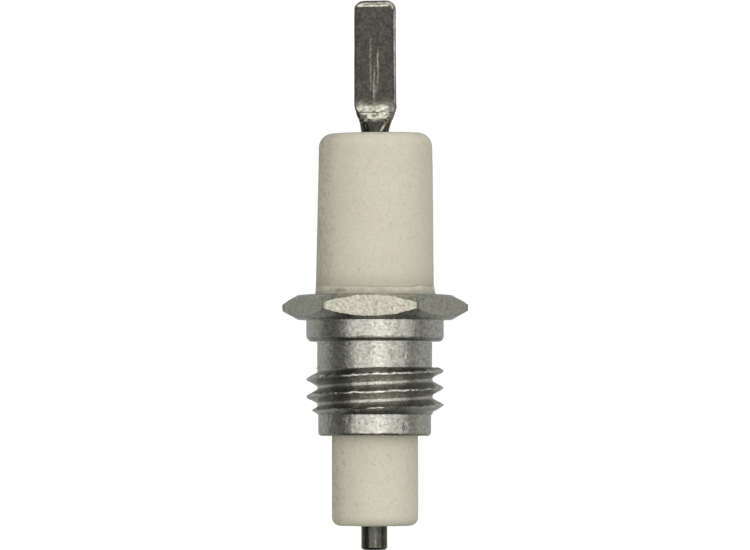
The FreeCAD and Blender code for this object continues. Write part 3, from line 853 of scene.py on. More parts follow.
def rod_rings():
    angle, square = rod_sections()
    cosine, sine = np.cos(angle), np.sin(angle)
    chamfer_sine, chamfer_cosine = math.sin(math.radians(29)), math.cos(math.radians(29))

    def wire(radius, z):
        return place(radius * cosine, radius * sine, z)

    def blade(width, depth, edge):
        """Rectangle of half width and half depth, its corners broken by a low chamfer."""
        x, y = width * square[:, 0], depth * square[:, 1]
        reach = width * chamfer_sine + depth * chamfer_cosine - 0.36 * edge
        over = np.maximum(np.abs(x) * chamfer_sine + np.abs(y) * chamfer_cosine - reach, 0)
        return x - np.sign(x) * over * chamfer_sine, y - np.sign(y) * over * chamfer_cosine

    rows = [wire(radius, TIP_END + rise) for radius, rise in WIRE_TIP]
    straight = [*np.linspace(TIP_END + 0.34, NOSE_END + 0.6, 26), -15.0, -5.0, 5.0, 14.0, 17.3]
    rows += [wire(WIRE_RADIUS, z) for z in straight]
    ear = ear_radius(cosine, sine)
    for z, t in ((17.4, 0.9), (17.6, 1.0), (19.0, 1.0), (19.2, 0.9)):
        rows.append(wire(lerp(WIRE_RADIUS, ear, t), z))
    rows += [wire(WIRE_RADIUS, z) for z in (19.3, 20.6)]

    # neck: round wire, then two hammered steps up to the flat of the tab
    for z in np.concatenate([np.linspace(21.0, 22.2, 14), np.linspace(22.26, 25.15, 76)]):
        width = np.interp(z, *np.transpose(NECK_WIDTH))
        depth = np.interp(z, *np.transpose(NECK_DEPTH))
        blade_x, blade_y = blade(width, depth, 0.36 * (1 - smooth(24.0, 25.0, z)) + TAB_EDGE)
        flatness = smooth(22.4, 23.7, z)
        x = lerp(width * cosine, blade_x, flatness)
        y = lerp(depth * sine, blade_y, flatness)
        # lower facets: planes cut on the round wire
        if z < 23.3:
            limit = np.interp(z, [21.75, 23.2], [1.52, 1.16])
            y = np.clip(y, -limit, limit)
        rows.append(place(x, y, z))

    # the tab and its rounded, thinned end
    for z in np.linspace(25.25, TAB_TOP - 1.1, 60):
        rows.append(place(*blade(TAB_HALF_WIDTH, TAB_HALF_DEPTH, TAB_EDGE), z))
    for t in np.linspace(0, 1, 22)[1:]:
        z = TAB_TOP - TAB_CORNER + TAB_CORNER * math.sin(t * math.pi / 2)
        width = TAB_HALF_WIDTH - TAB_CORNER + TAB_CORNER * math.cos(t * math.pi / 2)
        depth = TAB_HALF_DEPTH - 0.24 * smooth(TAB_TOP - 0.72, TAB_TOP - 0.10, z) ** 0.9
        if z > TAB_TOP - 0.08:
            depth -= 0.05
        x, y = blade(width, depth, TAB_EDGE)
        rows.append(place(x, y, z))
    rows += [place(x * t, y * t, TAB_TOP) for t in (0.8, 0.5, 0.2)]
    return np.array(rows)


# ------------------------------------------------------------------ rod: wear, marks, painted highlights and painted shade
# grooves in the tab's broad faces: x, lower z, upper z, depth, seed
TAB_GROOVES = (
    (-0.44, 26.6, 33.6, 0.018, 404),
    (-0.05, 25.4, 29.6, 0.012, 405),
    (0.40, 26.6, 32.4, 0.022, 406),
)
# painted highlights, bright lines on the tab: x, lower z, upper z, width, strength, seed
TAB_LINES = (
    (-0.47, 26.6, 33.0, 0.095, 0.42, 404),
    (0.42, 27.0, 32.2, 0.080, 0.62, 406),
    (-0.05, 25.4, 29.6, 0.10, 0.36, 405),
    (0.18, 25.1, 27.9, 0.14, 0.24, 407),
)
# painted highlights, bright lines beside the facets: upper x, lower x, upper z, lower z, width
SCRAPES = ((1.42, 0.94, 22.78, 21.78, 0.115), (-0.98, -0.72, 22.72, 22.1, 0.06))


def wavering(x, z, seed):
    """An x place that wanders a little with height."""
    return x + 0.045 * noise(place(0, 0, z), 1.6, seed)


def rod_regions(skin):
    x, z = skin.x, skin.z
    facing = np.abs(skin.normal[:, 1])
    tab = window(z, 24.95, 25.3, TAB_TOP - 0.85, TAB_TOP - 0.70)
    return SimpleNamespace(
        facing=facing,
        face=smooth(0.3, 0.6, facing),
        tab=tab,
        broad=tab * smooth(0.55, 0.85, facing),
        wire=(z < NOSE_END + 0.7).astype(float),
        step_z=TAB_TOP - 0.40 + 0.06 * noise(place(x, 0, 0), 0.9, seed=422),
        # x as seen from the face's own side, and how far inside the rounded end
        face_x=x * np.where(skin.y < 0, 1.0, -1.0),
        inset=TAB_CORNER
        - np.hypot(
            np.maximum(np.abs(x) - (TAB_HALF_WIDTH - TAB_CORNER), 0),
            np.maximum(z - (TAB_TOP - TAB_CORNER), 0),
        ),
    )


def worn_rod(skin, region):
    points, x, y, z = skin.points, skin.x, skin.y, skin.z
    push = region.broad * layers(
        points, (0.0040, 0.75, 401), (0.006, 2.4, 402), (0.0030, 0.3, 403)
    )
    for groove_x, low, high, depth, seed in TAB_GROOVES:
        groove = bell(x - wavering(groove_x, z, seed), 0.085)
        push -= region.broad * groove * window(z, low, low + 0.6, high - 1.4, high) * depth
    # hammered neck, its lower edge run out unevenly into the wire
    hammered = window(z, 23.1, 23.35, 24.95, 25.2) * smooth(0.3, 0.7, region.facing)
    push += hammered * layers(points, (0.052, (0.80, 0.9, 0.42), 411), (0.010, 0.34, 412))
    run_out = window(z, 22.9, 23.1, 23.3, 23.5) * (np.abs(y) > 0.5)
    push -= run_out * 0.05 * peaks(points, (0.5, 0.9, 0.5), seed=413, above=0)
    # wavy bevel at the top with a step in it
    bevel = smooth(TAB_TOP - 0.75, TAB_TOP - 0.62, z) * region.face
    push += bevel * (0.026 * noise(points, (0.9, 0.8, 0.26), seed=421) - 0.008)
    push -= bevel * 0.045 * bell(z - region.step_z, 0.075) * window(x, -1.7, -1.1, 0.9, 1.5)
    # worn long edges
    rim = region.tab * bell(np.abs(x) - TAB_HALF_WIDTH, 0.12)
    push -= rim * 0.022 * peaks(points, (0.5, 0.5, 0.8), seed=423, above=-0.1)
    # drawn wire: lines along the axis
    along = place(np.cos(skin.angle) * 1.5, np.sin(skin.angle) * 1.5, z * 0.12)
    push += region.wire * 0.007 * noise(along, 0.22, seed=431)
    push += region.wire * 0.006 * noise(points, 0.5, seed=432)
    moved = skin.pushed(push)
    moved[:, 2] = np.clip(moved[:, 2], TIP_END, TAB_TOP)

    # turn the tab; the rod stands a little towards -X in its bore at the lower end
    cosine, sine = math.cos(TAB_TURN), math.sin(TAB_TURN)
    lean = -0.085 * (1 - smooth(NOSE_END, 12.0, moved[:, 2]))
    turned = moved.copy()
    turned[:, 0] = cosine * moved[:, 0] - sine * moved[:, 1] + lean
    turned[:, 0] += 0.05 * window(z, 22.0, 23.0, 24.6, 25.2)
    turned[:, 0] += 0.055 * smooth(0.5, 2.2, x) * window(z, 22.5, 25.0, 25.0, 34.0)
    turned[:, 1] = sine * moved[:, 0] + cosine * moved[:, 1]
    return turned


def neck_shine(skin, region):
    """Painted highlights on the hammered steps, with a ragged upper end."""
    points, z, face_x = skin.points, skin.z, region.face_x
    ragged = layers(points, (0.11, (0.7, 0.9, 0.5), 441), (0.05, 0.3, 442))
    top = 24.98 + ragged
    bright_side = 1 - smooth(1.45, 1.75, face_x + ragged)
    shine = window(z, 23.18, 23.26, top - 0.38, top + 0.10) * (0.25 + 0.75 * bright_side)
    shine *= smooth(0.25, 0.5, region.facing)
    # gaps in the painted highlight: dull blobs, the dull left part of the lower step, and the line
    # between the steps
    blob = noise(points, (0.50, 0.9, 0.26), seed=445)
    shine *= 1 - 0.75 * smooth(0.0, -0.35, blob) * (1 - 0.7 * smooth(24.15, 24.4, z))
    lower_step = 1 - smooth(24.0, 24.12, z)
    shine *= 1 - lower_step * (0.75 - 0.75 * smooth(-1.7, -0.5, face_x + 0.5 * blob))
    between = bell(z - 24.07 - 0.7 * ragged, 0.062)
    shine *= 1 - 0.80 * between * (1 - 0.8 * smooth(0.0, 0.7, face_x))
    # a faint painted highlight run-out above, and painted highlight spots below
    patchy = np.clip(1 + 1.2 * noise(points, (0.5, 0.9, 0.5), seed=446), 0, 2)
    above = 0.13 * (1 - smooth(top, top + 0.8, z)) * (z > 24.6) * region.face * patchy
    spots = np.clip(0.30 + 1.5 * noise(points, (0.45, 0.5, 0.24), seed=443), 0, 0.9)
    spots *= smooth(22.90, 23.02, z + 0.10 * (skin.x / 1.2) ** 2) * (1 - smooth(23.2, 23.3, z))
    return np.maximum(np.maximum(shine, above), spots * region.face)


def bevel_shine(skin, region):
    """Painted highlight on the bevel at the tab's end, and a painted highlight line round its right
    corner.
    """
    x, z, face_x, inset = skin.x, skin.z, region.face_x, region.inset
    wave = 0.03 * noise(skin.points, (0.5, 0.5, 0.5), seed=424)
    bevel = smooth(TAB_TOP - 0.74, TAB_TOP - 0.68, z) * smooth(0.20, 0.30, inset + wave)
    bevel *= 1 - smooth(1.55, 1.75, face_x)
    corner = (face_x > 1.3) * (z > TAB_TOP - 1.1) * bell(inset - 0.24, 0.07)
    bevel = np.maximum(bevel, 0.8 * corner)
    step = bell(z - region.step_z, 0.07) * window(x, -1.7, -1.2, 0.9, 1.5)
    return bevel * (1 - 0.7 * step)


# painted highlights along lines on the tab
def tab_line_shine(skin, region):
    points, z = skin.points, skin.z
    shine = 0
    for line_x, low, high, width, strength, seed in TAB_LINES:
        line = bell(region.face_x - wavering(line_x, z, seed), width)
        line *= window(z, low - 0.4, low + 0.8, high - 1.6, high + 0.3)
        broken = 0.62 + layers(
            points, (0.75, (0.25, 0.25, 0.42), seed + 40), (0.4, (0.2, 0.2, 1.6), seed + 41)
        )
        shine = np.maximum(shine, strength * line * np.clip(broken, 0, 1.2))
    return region.broad * shine


# all the painted highlights of the rod
def rod_shine(skin, region):
    points, z = skin.points, skin.z
    shine = np.maximum(neck_shine(skin, region), bevel_shine(skin, region))
    shine = np.maximum(shine, tab_line_shine(skin, region))
    # painted highlights along the long edges of the tab
    worn = 0.52 + 0.45 * noise(points, (0.5, 0.5, 1.1), seed=444) + 0.3 * bell(z - 32.0, 0.9)
    edge = smooth(24.95, 25.3, z) * window(1 - region.facing, 0.05, 0.10, 0.30, 0.5)
    shine = np.maximum(shine, edge * np.clip(worn, 0, 1))
    # painted highlight lines beside the facets
    for top_x, low_x, top, low, width in SCRAPES:
        t = np.clip((top - z) / (top - low), 0, 1)
        scrape = bell(np.abs(region.face_x - lerp(top_x, low_x, t)), width)
        scrape *= window(z, low - 0.05, low + 0.1, top - 0.1, top + 0.05)
        shine = np.maximum(shine, scrape)
    return shine


def rod_dull(skin, region):
    """Painted shade on the facets, the neck's sides and the tab's rim and edge lines, a darker tone over
    the tab, and darker wire just below the nose.
    """
    x, z = skin.x, skin.z
    facet = smooth(0.6, 0.85, region.facing) * window(z, 21.3, 21.9, 22.9, 23.0)
    facet *= np.abs(x) < 1.2
    sides = (0.9 - 0.6 * smooth(0.2, -0.6, region.face_x)) * (z > 21)
    sides *= smooth(0.6, 0.9, 1 - region.facing)
    tab = region.tab * (0.46 + 0.4 * bell(np.abs(x) - 2.12, 0.06))
    dull = np.clip(0.85 * facet + sides + tab, 0, 1)
    rim = smooth(TAB_TOP - 0.74, TAB_TOP - 0.68, z) * (1 - smooth(0.16, 0.26, region.inset))
    dull = np.maximum(dull, 0.8 * rim * (np.abs(x) < TAB_HALF_WIDTH - 0.02))
    by_nose = smooth(NOSE_END - 1.25, NOSE_END - 0.25, z)
    return np.maximum(dull, region.wire * 0.42 * by_nose)


def build_rod():
    rings = rod_rings()
    net = Net()
    net.rings(rings)
    net.cap(rings[0][::-1], np.array([0, 0, TIP_END]))
    net.cap(rings[-1], np.array([0, 0, TAB_TOP]))
    skin = Surface(net, tolerance=1e-4)
    region = rod_regions(skin)
    return skin.build(
        "electrode_rod_tab",
        worn_rod(skin, region),
        sharp_degrees=38,
        shine=rod_shine(skin, region),
        dull=rod_dull(skin, region),
        wire=region.wire,
    )


# ------------------------------------------------------------------ node helpers
class Nodes:
    """Shorthands for a node tree. Inputs may be numbers, colours or sockets."""

    def __init__(self, tree):
        self.tree = tree
        self.new = tree.nodes.new
        self.link = tree.links.new

    def calc(self, operation, *values):
        node = self.new("ShaderNodeMath")
        node.operation = operation
        for i, value in enumerate(values):
            if isinstance(value, (int, float)):
                node.inputs[i].default_value = value
            else:
                self.link(value, node.inputs[i])
        return node.outputs[0]

    def add(self, first, second):
        return self.calc("ADD", first, second)

    def times(self, first, second):
        return self.calc("MULTIPLY", first, second)

    def ramp(self, factor, stops):
        """stops: position with a grey level or a colour."""
        node = self.new("ShaderNodeValToRGB")
        elements = node.color_ramp.elements
        while len(elements) < len(stops):
            elements.new(0.5)
        for element, (position, colour) in zip(elements, stops):
            grey = isinstance(colour, (int, float))
            element.position = position
            element.color = (colour, colour, colour, 1) if grey else (*colour, 1)
        self.link(factor, node.inputs["Fac"])
        return node.outputs["Color"]

    def mix(self, factor, base, over, mode="MIX"):
        node = self.new("ShaderNodeMix")
        node.data_type = "RGBA"
        node.blend_type = mode
        # sockets 0, 6 and 7 are the factor and the two colours
        for i, value in ((0, factor), (6, base), (7, over)):
            if isinstance(value, (int, float)):
                node.inputs[i].default_value = value
            elif isinstance(value, tuple):
                node.inputs[i].default_value = (*value, 1)
            else:
                self.link(value, node.inputs[i])
        return node.outputs[2]

    def overlay(self, base, *coats):
        """Lays colours over a base. Each coat: texture, ramp stops of its strength, colour."""
        for texture, stops, colour in coats:
            base = self.mix(self.ramp(texture, stops), base, colour)
        return base


class Material(Nodes):
    def __init__(self, name):
        self.material = bpy.data.materials.new(name)
        self.material.use_nodes = True
        super().__init__(self.material.node_tree)
        self.shader = self.tree.nodes["Principled BSDF"]
        self.coord = self.new("ShaderNodeTexCoord").outputs["Object"]

    def noise(self, size_mm, detail, rough, coord=None, stretch=None, distort=0.0):
        node = self.new("ShaderNodeTexNoise")
        node.inputs["Scale"].default_value = 1000.0 / size_mm
        node.inputs["Detail"].default_value = detail
        node.inputs["Roughness"].default_value = rough
        node.inputs["Distortion"].default_value = distort
        source = coord or self.coord
        if stretch:
            mapping = self.new("ShaderNodeMapping")
            mapping.inputs["Scale"].default_value = stretch
            self.link(source, mapping.inputs["Vector"])
            source = mapping.outputs["Vector"]
        self.link(source, node.inputs["Vector"])
        return node.outputs["Fac"]

    def cells(self, size_mm):
        node = self.new("ShaderNodeTexVoronoi")
        node.inputs["Scale"].default_value = 1000.0 / size_mm
        self.link(self.coord, node.inputs["Vector"])
        return node.outputs["Distance"]

    def mark(self, name):
        """A number per vertex, written by Surface.build."""
        node = self.new("ShaderNodeAttribute")
        node.attribute_name = name
        return node.outputs["Fac"]

    def round_coord(self):
        """Arc length at 8 mm, radius and height, so that lines run round the axis."""
        split = self.new("ShaderNodeSeparateXYZ")
        self.link(self.coord, split.inputs[0])
        x, y, z = split.outputs
        arc_length = self.times(self.calc("ARCTAN2", y, x), 0.008)
        radius = self.calc("SQRT", self.add(self.times(x, x), self.times(y, y)))
        joined = self.new("ShaderNodeCombineXYZ")
        for i, value in enumerate((arc_length, radius, z)):
            self.link(value, joined.inputs[i])
        return joined.outputs[0]

    def bumps(self, *entries):
        """Stacked bumps. Each entry: height, strength, distance in mm."""
        normal = None
        for height, strength, distance in entries:
            node = self.new("ShaderNodeBump")
            node.inputs["Strength"].default_value = strength
            node.inputs["Distance"].default_value = distance * MM
            self.link(height, node.inputs["Height"])
            if normal is not None:
                self.link(normal, node.inputs["Normal"])
            normal = node.outputs["Normal"]
        return normal

    def set(self, **inputs):
        for name, value in inputs.items():
            socket = self.shader.inputs[name.replace("_", " ")]
            if hasattr(value, "is_linked"):
                self.link(value, socket)
            elif isinstance(value, tuple):
                socket.default_value = (*value, 1)
            else:
                socket.default_value = value


# ------------------------------------------------------------------ materials
def shell_metal():
    m = Material("shell_nickel_steel")
    round_coord = m.round_coord()
    grain = m.noise(0.30, detail=4, rough=0.62)
    streak = m.noise(0.32, detail=4, rough=0.62, coord=round_coord, stretch=(0.6, 1, 1))
    mottled = m.noise(1.0, detail=4, rough=0.6)
    turning = m.noise(0.13, detail=3, rough=0.6, coord=round_coord, stretch=(0.07, 1, 1))
    stain = m.noise(3.2, detail=5, rough=0.65)
    specks = m.noise(0.34, detail=2, rough=0.5, distort=0.4)
    broken = m.noise(0.55, detail=3, rough=0.6)
    warm = m.noise(0.8, detail=3, rough=0.6, distort=0.5)
    cool = m.noise(0.7, detail=3, rough=0.6, coord=round_coord)
    flat = m.mark("flat_side")
    crest = m.mark("crest")
    turned = m.overlay(
        m.ramp(
            mottled,
            [(0.30, (0.43, 0.435, 0.39)), (0.52, (0.515, 0.52, 0.475)), (0.70, (0.59, 0.595, 0.55))],
        ),
        (stain, [(0.38, 0.0), (0.72, 0.40)], (0.55, 0.51, 0.435)),
        (streak, [(0.34, 0.68), (0.49, 0.0)], (0.20, 0.205, 0.18)),
        (streak, [(0.52, 0.0), (0.66, 0.62)], (0.78, 0.78, 0.735)),
        (warm, [(0.50, 0.0), (0.66, 0.5)], (0.60, 0.545, 0.475)),
        (cool, [(0.52, 0.0), (0.68, 0.5)], (0.47, 0.505, 0.49)),
        (turning, [(0.30, 0.50), (0.44, 0.0)], (0.21, 0.215, 0.19)),
        (specks, [(0.26, 0.7), (0.33, 0.0)], (0.11, 0.11, 0.09)),
    )
    side = m.overlay(
        m.ramp(
            grain,
            [(0.34, (0.325, 0.316, 0.272)), (0.49, (0.480, 0.465, 0.405)), (0.64, (0.60, 0.585, 0.52))],
        ),
        (specks, [(0.28, 0.55), (0.37, 0.0)], (0.24, 0.232, 0.195)),
    )
    base = m.mix(flat, turned, side)
    # the thread holds grime and painted shade, its crests are rubbed bright
    base = m.mix(m.times(m.mark("threaded"), 0.78), base, (0.125, 0.13, 0.107))
    # the crest mark also lays the painted highlight at the top of the relief
    rubbed = m.times(crest, m.ramp(broken, [(0.42, 0.10), (0.53, 1.0)]))
    base = m.mix(rubbed, base, (0.62, 0.61, 0.575))
    # painted shade on the shell's corners, edges and rounds, and dark marks in the pilot's nicks
    base = m.mix(m.times(m.mark("soot"), 0.85), base, (0.10, 0.10, 0.085))
    # rougher with grain and on the flats, smoother on the crests
    rough = m.add(m.times(grain, 0.20), 0.13)
    rough = m.add(rough, m.times(mottled, 0.08))
    rough = m.add(rough, m.times(flat, 0.08))
    rough = m.times(rough, m.calc("SUBTRACT", 1.0, m.times(crest, 0.45)))
    normal = m.bumps((turning, 0.35, 0.02), (grain, 0.7, 0.04), (streak, 0.5, 0.035))
    m.set(Base_Color=base, Metallic=1.0, Roughness=rough, Normal=normal)
    return m.material


def ceramic():
    m = Material("ceramic_unglazed")
    fine = m.noise(0.24, detail=3, rough=0.65)
    cloud = m.noise(4.5, detail=4, rough=0.55)
    grey = m.noise(2.0, detail=5, rough=0.62, stretch=(1, 1, 0.9))
    smudge = m.noise(0.85, detail=6, rough=0.74, stretch=(1, 1, 1.3), distort=0.3)
    smears = m.noise(0.55, detail=5, rough=0.7, distort=0.4)
    scuff = m.noise(0.62, detail=4, rough=0.62, stretch=(1, 1, 0.8), distort=0.5)
    stain = m.mark("stain")
    base = m.overlay(
        m.ramp(cloud, [(0.3, (0.752, 0.708, 0.590)), (0.7, (0.792, 0.752, 0.634))]),
        (grey, [(0.52, 0.0), (0.76, 0.22)], (0.50, 0.50, 0.45)),
    )
    smudged = m.times(stain, m.ramp(smudge, [(0.38, 0.25), (0.62, 0.85)]))
    base = m.mix(smudged, base, (0.38, 0.385, 0.355))
    handled = m.add(m.times(stain, 0.9), 0.17)
    smeared = m.times(handled, m.ramp(smears, [(0.53, 0.0), (0.64, 0.8)]))
    base = m.mix(smeared, base, (0.33, 0.335, 0.30))
    base = m.overlay(
        base,
        (scuff, [(0.642, 0.0), (0.715, 0.50)], (0.40, 0.40, 0.355)),
        (fine, [(0.30, 0.26), (0.48, 0.0)], (0.52, 0.50, 0.42)),
        (fine, [(0.53, 0.0), (0.70, 0.22)], (0.94, 0.92, 0.79)),
    )
    # painted shade at the nose, round the end face and at the barrel's foot
    base = m.mix(m.times(m.mark("low"), 0.40), base, (0.45, 0.425, 0.345))
    # a few of the cells carry a dark speck
    speck = m.times(
        m.ramp(m.cells(0.9), [(0.07, 1.0), (0.16, 0.0)]),
        m.ramp(m.noise(1.4, detail=2, rough=0.5), [(0.56, 0.0), (0.66, 0.26)]),
    )
    base = m.mix(speck, base, (0.25, 0.25, 0.23))
    # painted shade: darker where the surface turns away from the eye
    edge = m.new("ShaderNodeLayerWeight")
    edge.inputs["Blend"].default_value = 0.5
    away_stops = [(0.80, 0.0), (0.93, 0.12), (1.0, 0.60)]
    base = m.overlay(base, (edge.outputs["Facing"], away_stops, (0.36, 0.36, 0.32)))
    normal = m.bumps((fine, 0.9, 0.04), (m.noise(0.6, detail=5, rough=0.65), 0.55, 0.06))
    m.set(
        Base_Color=base, Metallic=0.0, Roughness=0.62, Normal=normal, Specular_IOR_Level=0.30
    )
    return m.material


def cement(name, light, dark):
    def darker(share):
        return tuple(channel * share for channel in dark)

    m = Material(name)
    fine = m.noise(0.22, detail=4, rough=0.65)
    lumps = m.noise(0.8, detail=4, rough=0.6)
    lighter = tuple(min(channel * 1.3, 0.9) for channel in light)
    base = m.overlay(
        m.ramp(lumps, [(0.3, dark), (0.62, light)]),
        (fine, [(0.30, 0.40), (0.48, 0.0)], darker(0.55)),
        (fine, [(0.56, 0.0), (0.74, 0.4)], lighter),
        (m.cells(0.40), [(0.04, 0.5), (0.12, 0.0)], darker(0.45)),
    )
    base = m.mix(m.mark("shade"), base, darker(0.36))
    normal = m.bumps((fine, 0.6, 0.03), (lumps, 0.4, 0.08))
    m.set(
        Base_Color=base, Metallic=0.0, Roughness=0.82, Normal=normal, Specular_IOR_Level=0.25
    )
    return m.material


def rod_metal():
    m = Material("rod_alloy")
    grain = m.noise(0.30, detail=3, rough=0.6)
    mottled = m.noise(0.75, detail=4, rough=0.65)
    drawn = m.noise(0.16, detail=3, rough=0.6, stretch=(1, 1, 0.06))
    wire = m.mark("wire")
    base = m.overlay(
        m.ramp(
            grain,
            [(0.30, (0.060, 0.060, 0.050)), (0.50, (0.100, 0.101, 0.086)), (0.70, (0.175, 0.177, 0.152))],
        ),
        (mottled, [(0.34, 0.70), (0.52, 0.0)], (0.052, 0.052, 0.043)),
        (mottled, [(0.52, 0.0), (0.72, 0.35)], (0.14, 0.14, 0.122)),
        (drawn, [(0.52, 0.0), (0.78, 0.30)], (0.16, 0.16, 0.14)),
    )
    # painted shade on the neck, facets and tab rim, the tab's darker tone, and darker wire below the nose
    base = m.mix(m.times(m.mark("dull"), 0.75), base, (0.024, 0.024, 0.020))
    # the colour of the painted highlights
    bright = m.ramp(
        grain,
        [(0.30, (0.44, 0.430, 0.370)), (0.52, (0.66, 0.648, 0.570)), (0.70, (0.92, 0.91, 0.83))],
    )
    base = m.mix(m.mark("shine"), base, bright)
    base = m.mix(m.times(wire, 0.06), base, (0.22, 0.22, 0.19))
    # the wire is smoother than the tab
    rough = m.add(m.times(grain, 0.20), 0.17)
    rough = m.times(rough, m.calc("SUBTRACT", 1.0, m.times(wire, 0.42)))
    normal = m.bumps((grain, 0.5, 0.02), (mottled, 0.25, 0.04))
    m.set(Base_Color=base, Metallic=1.0, Roughness=rough, Normal=normal)
    return m.material


def gasket_metal():
    m = Material("gasket_strip")
    grain = m.noise(0.2, detail=3, rough=0.6)
    base = m.ramp(grain, [(0.3, (0.34, 0.34, 0.31)), (0.7, (0.46, 0.46, 0.42))])
    rough = m.add(m.times(grain, 0.2), 0.3)
    m.set(Base_Color=base, Metallic=1.0, Roughness=rough, Normal=m.bumps((grain, 0.3, 0.02)))
    return m.material


def floor_paper():
    """Pale paper, seen only from above and left out of reflections."""
    m = Material("floor_paper")
    rays = m.new("ShaderNodeLightPath")
    m.set(
        Base_Color=(0.90, 0.90, 0.89),
        Roughness=0.9,
        Emission_Color=(1, 1, 0.985),
        Emission_Strength=m.times(rays.outputs["Is Camera Ray"], 0.30),
    )
    below = m.new("ShaderNodeNewGeometry").outputs["Backfacing"]
    clear = m.new("ShaderNodeBsdfTransparent")
    pick = m.new("ShaderNodeMixShader")
    m.link(m.calc("MAXIMUM", below, rays.outputs["Is Glossy Ray"]), pick.inputs[0])
    m.link(m.shader.outputs[0], pick.inputs[1])
    m.link(clear.outputs[0], pick.inputs[2])
    m.link(pick.outputs[0], m.tree.nodes["Material Output"].inputs["Surface"])
    return m.material


# ------------------------------------------------------------------ the pieces
shell = build_shell()
insulator = build_insulator()
bead = build_shoulder_cement()
plug = build_terminal_cement()
rod = build_rod()

SHOULDER_COLOURS = {"light": (0.80, 0.757, 0.64), "dark": (0.62, 0.595, 0.505)}
TERMINAL_COLOURS = {"light": (0.74, 0.70, 0.60), "dark": (0.60, 0.57, 0.48)}

# each piece: object, material, CAD node it replaces, material slot
pieces = (
    (shell, shell_metal(), "shell", "shell_steel"),
    (insulator, ceramic(), "insulator", "ceramic"),
    (bead, cement("cement_shoulder", **SHOULDER_COLOURS), "shoulder_cement", "cement"),
    (plug, cement("cement_terminal", **TERMINAL_COLOURS), "terminal_cement", "cement"),
    (rod, rod_metal(), "electrode_rod", "rod_alloy"),
)
# the gasket keeps its CAD mesh
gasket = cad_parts["seat_gasket"]
gasket.data.materials.clear()
gasket.data.materials.append(gasket_metal())

for piece, material, node, slot in pieces:
    piece.data.materials.append(material)
    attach(piece, "root")
    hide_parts(node)


# ------------------------------------------------------------------ camera and floor, metres
CAMERA_TURN = math.radians(3.3)  # the camera stands a little to the right of the front
CAMERA_DISTANCE = 0.551
CAMERA_Z, AIM_Z = -0.0140, 0.005175
FLOOR_HALF, FLOOR_Z, FLOOR_STEPS = 3.0, -0.25, 24


def build_camera():
    lens = bpy.data.cameras.new("camera")
    lens.sensor_width = 36.0
    lens.lens = 228.0
    lens.clip_start, lens.clip_end = 0.01, 50
    camera = bpy.data.objects.new("camera", lens)
    bpy.context.scene.collection.objects.link(camera)
    eye = Vector((
        math.sin(CAMERA_TURN) * CAMERA_DISTANCE,
        -math.cos(CAMERA_TURN) * CAMERA_DISTANCE,
        CAMERA_Z,
    ))
    camera.location = eye
    aim = Vector((0, 0, AIM_Z))
    camera.rotation_euler = (aim - eye).to_track_quat("-Z", "Y").to_euler()
    bpy.context.scene.camera = camera


def build_floor():
    """A plain grid well below the part."""
    mesh = bpy.data.meshes.new("floor")
    steps = np.linspace(-FLOOR_HALF, FLOOR_HALF, FLOOR_STEPS + 1)
    row = FLOOR_STEPS + 1
    corners = [j * row + i for j in range(FLOOR_STEPS) for i in range(FLOOR_STEPS)]
    mesh.from_pydata(
        [(x, y, FLOOR_Z) for y in steps for x in steps],
        [],
        [(corner, corner + 1, corner + row + 1, corner + row) for corner in corners],
    )
    floor = bpy.data.objects.new("floor", mesh)
    bpy.context.scene.collection.objects.link(floor)
    floor.data.materials.append(floor_paper())


# ------------------------------------------------------------------ studio light
# azimuth in degrees from the camera's side, positive to its right, and brightness
TENT_AZIMUTH = (
    (-180, 0.0), (-110, 0.34), (-98, 0.20), (-84, 0.14), (-68, 0.13), (-56, 0.17),
    (-48, 0.37), (-38, 1.18), (-28, 1.40), (-19, 0.92), (-9, 1.12), (-2, 1.4), (7, 2.1),
    (15, 1.60), (24, 1.25), (35, 0.84), (54, 1.14), (62, 0.75), (72, 0.26), (86, 0.26),
    (102, 0.58), (180, 0.0),
)
TENT_PEAK = 2.2  # the ramp holds shares of this brightness
# elevation in degrees and share of the tent's brightness
TENT_ELEVATION = (
    (-90, 0.04), (-64, 0.07), (-48, 0.20), (-34, 0.46), (-22, 0.88), (-12, 1.0), (56, 1.0),
    (72, 1.25), (90, 1.15),
)
# elevation in degrees and brightness of the room behind
ROOM_ELEVATION = (
    (-90, 0.05), (-60, 0.22), (-30, 0.34), (-12, 0.43), (12, 0.45), (30, 0.41), (45, 0.36),
    (60, 0.20), (76, 0.18), (90, 0.35),
)
# azimuth in degrees and share of the room over the tent
ROOM_SHARE = ((-180, 1.0), (-118, 1.0), (-98, 0.0), (98, 0.0), (118, 1.0), (180, 1.0))


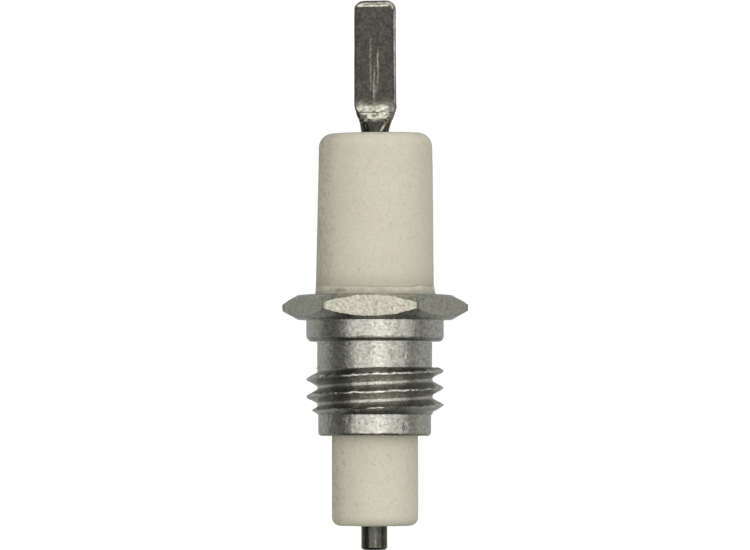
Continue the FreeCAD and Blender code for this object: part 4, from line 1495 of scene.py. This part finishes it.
def build_world():
    """Soft studio: a broad tent light in front, open sides, plain white for the camera."""
    world = bpy.data.worlds.new("studio")
    bpy.context.scene.world = world
    world.use_nodes = True
    world.node_tree.nodes.clear()
    w = Nodes(world.node_tree)

    split = w.new("ShaderNodeSeparateXYZ")
    w.link(w.new("ShaderNodeTexCoord").outputs["Generated"], split.inputs[0])
    x, y, z = split.outputs
    cosine, sine = math.cos(CAMERA_TURN), math.sin(CAMERA_TURN)
    right = w.add(w.times(x, cosine), w.times(y, sine))
    front = w.add(w.times(x, sine), w.times(y, -cosine))
    # both angles run from 0 to 1 over their whole range
    azimuth = w.add(w.calc("DIVIDE", w.calc("ARCTAN2", right, front), math.tau), 0.5)
    elevation = w.add(w.calc("DIVIDE", w.calc("ARCSINE", z), math.pi), 0.5)

    def angle_ramp(angle, table, whole, peak=1.0):
        return w.ramp(angle, [(degrees / whole + 0.5, level / peak) for degrees, level in table])

    tent_colour = (TENT_PEAK, TENT_PEAK * 0.99, TENT_PEAK * 0.94)
    room_colour = (1.09, 1.13, 1.06)
    tent = w.mix(1.0, angle_ramp(azimuth, TENT_AZIMUTH, 360, TENT_PEAK), tent_colour, "MULTIPLY")
    tent = w.mix(1.0, tent, angle_ramp(elevation, TENT_ELEVATION, 180), "MULTIPLY")
    room = w.mix(1.0, angle_ramp(elevation, ROOM_ELEVATION, 180), room_colour, "MULTIPLY")
    light = w.new("ShaderNodeBackground")
    light.inputs["Strength"].default_value = 1.0
    w.link(w.mix(angle_ramp(azimuth, ROOM_SHARE, 360), tent, room), light.inputs["Color"])
    paper = w.new("ShaderNodeBackground")
    paper.inputs["Color"].default_value = (1, 1, 1, 1)
    paper.inputs["Strength"].default_value = 1.02
    pick = w.new("ShaderNodeMixShader")
    w.link(w.new("ShaderNodeLightPath").outputs["Is Camera Ray"], pick.inputs[0])
    w.link(light.outputs[0], pick.inputs[1])
    w.link(paper.outputs[0], pick.inputs[2])
    w.link(pick.outputs[0], w.new("ShaderNodeOutputWorld").inputs["Surface"])


build_camera()
build_floor()
build_world()
bpy.context.scene.view_settings.view_transform = "Standard"
bpy.context.scene.view_settings.look = "None"
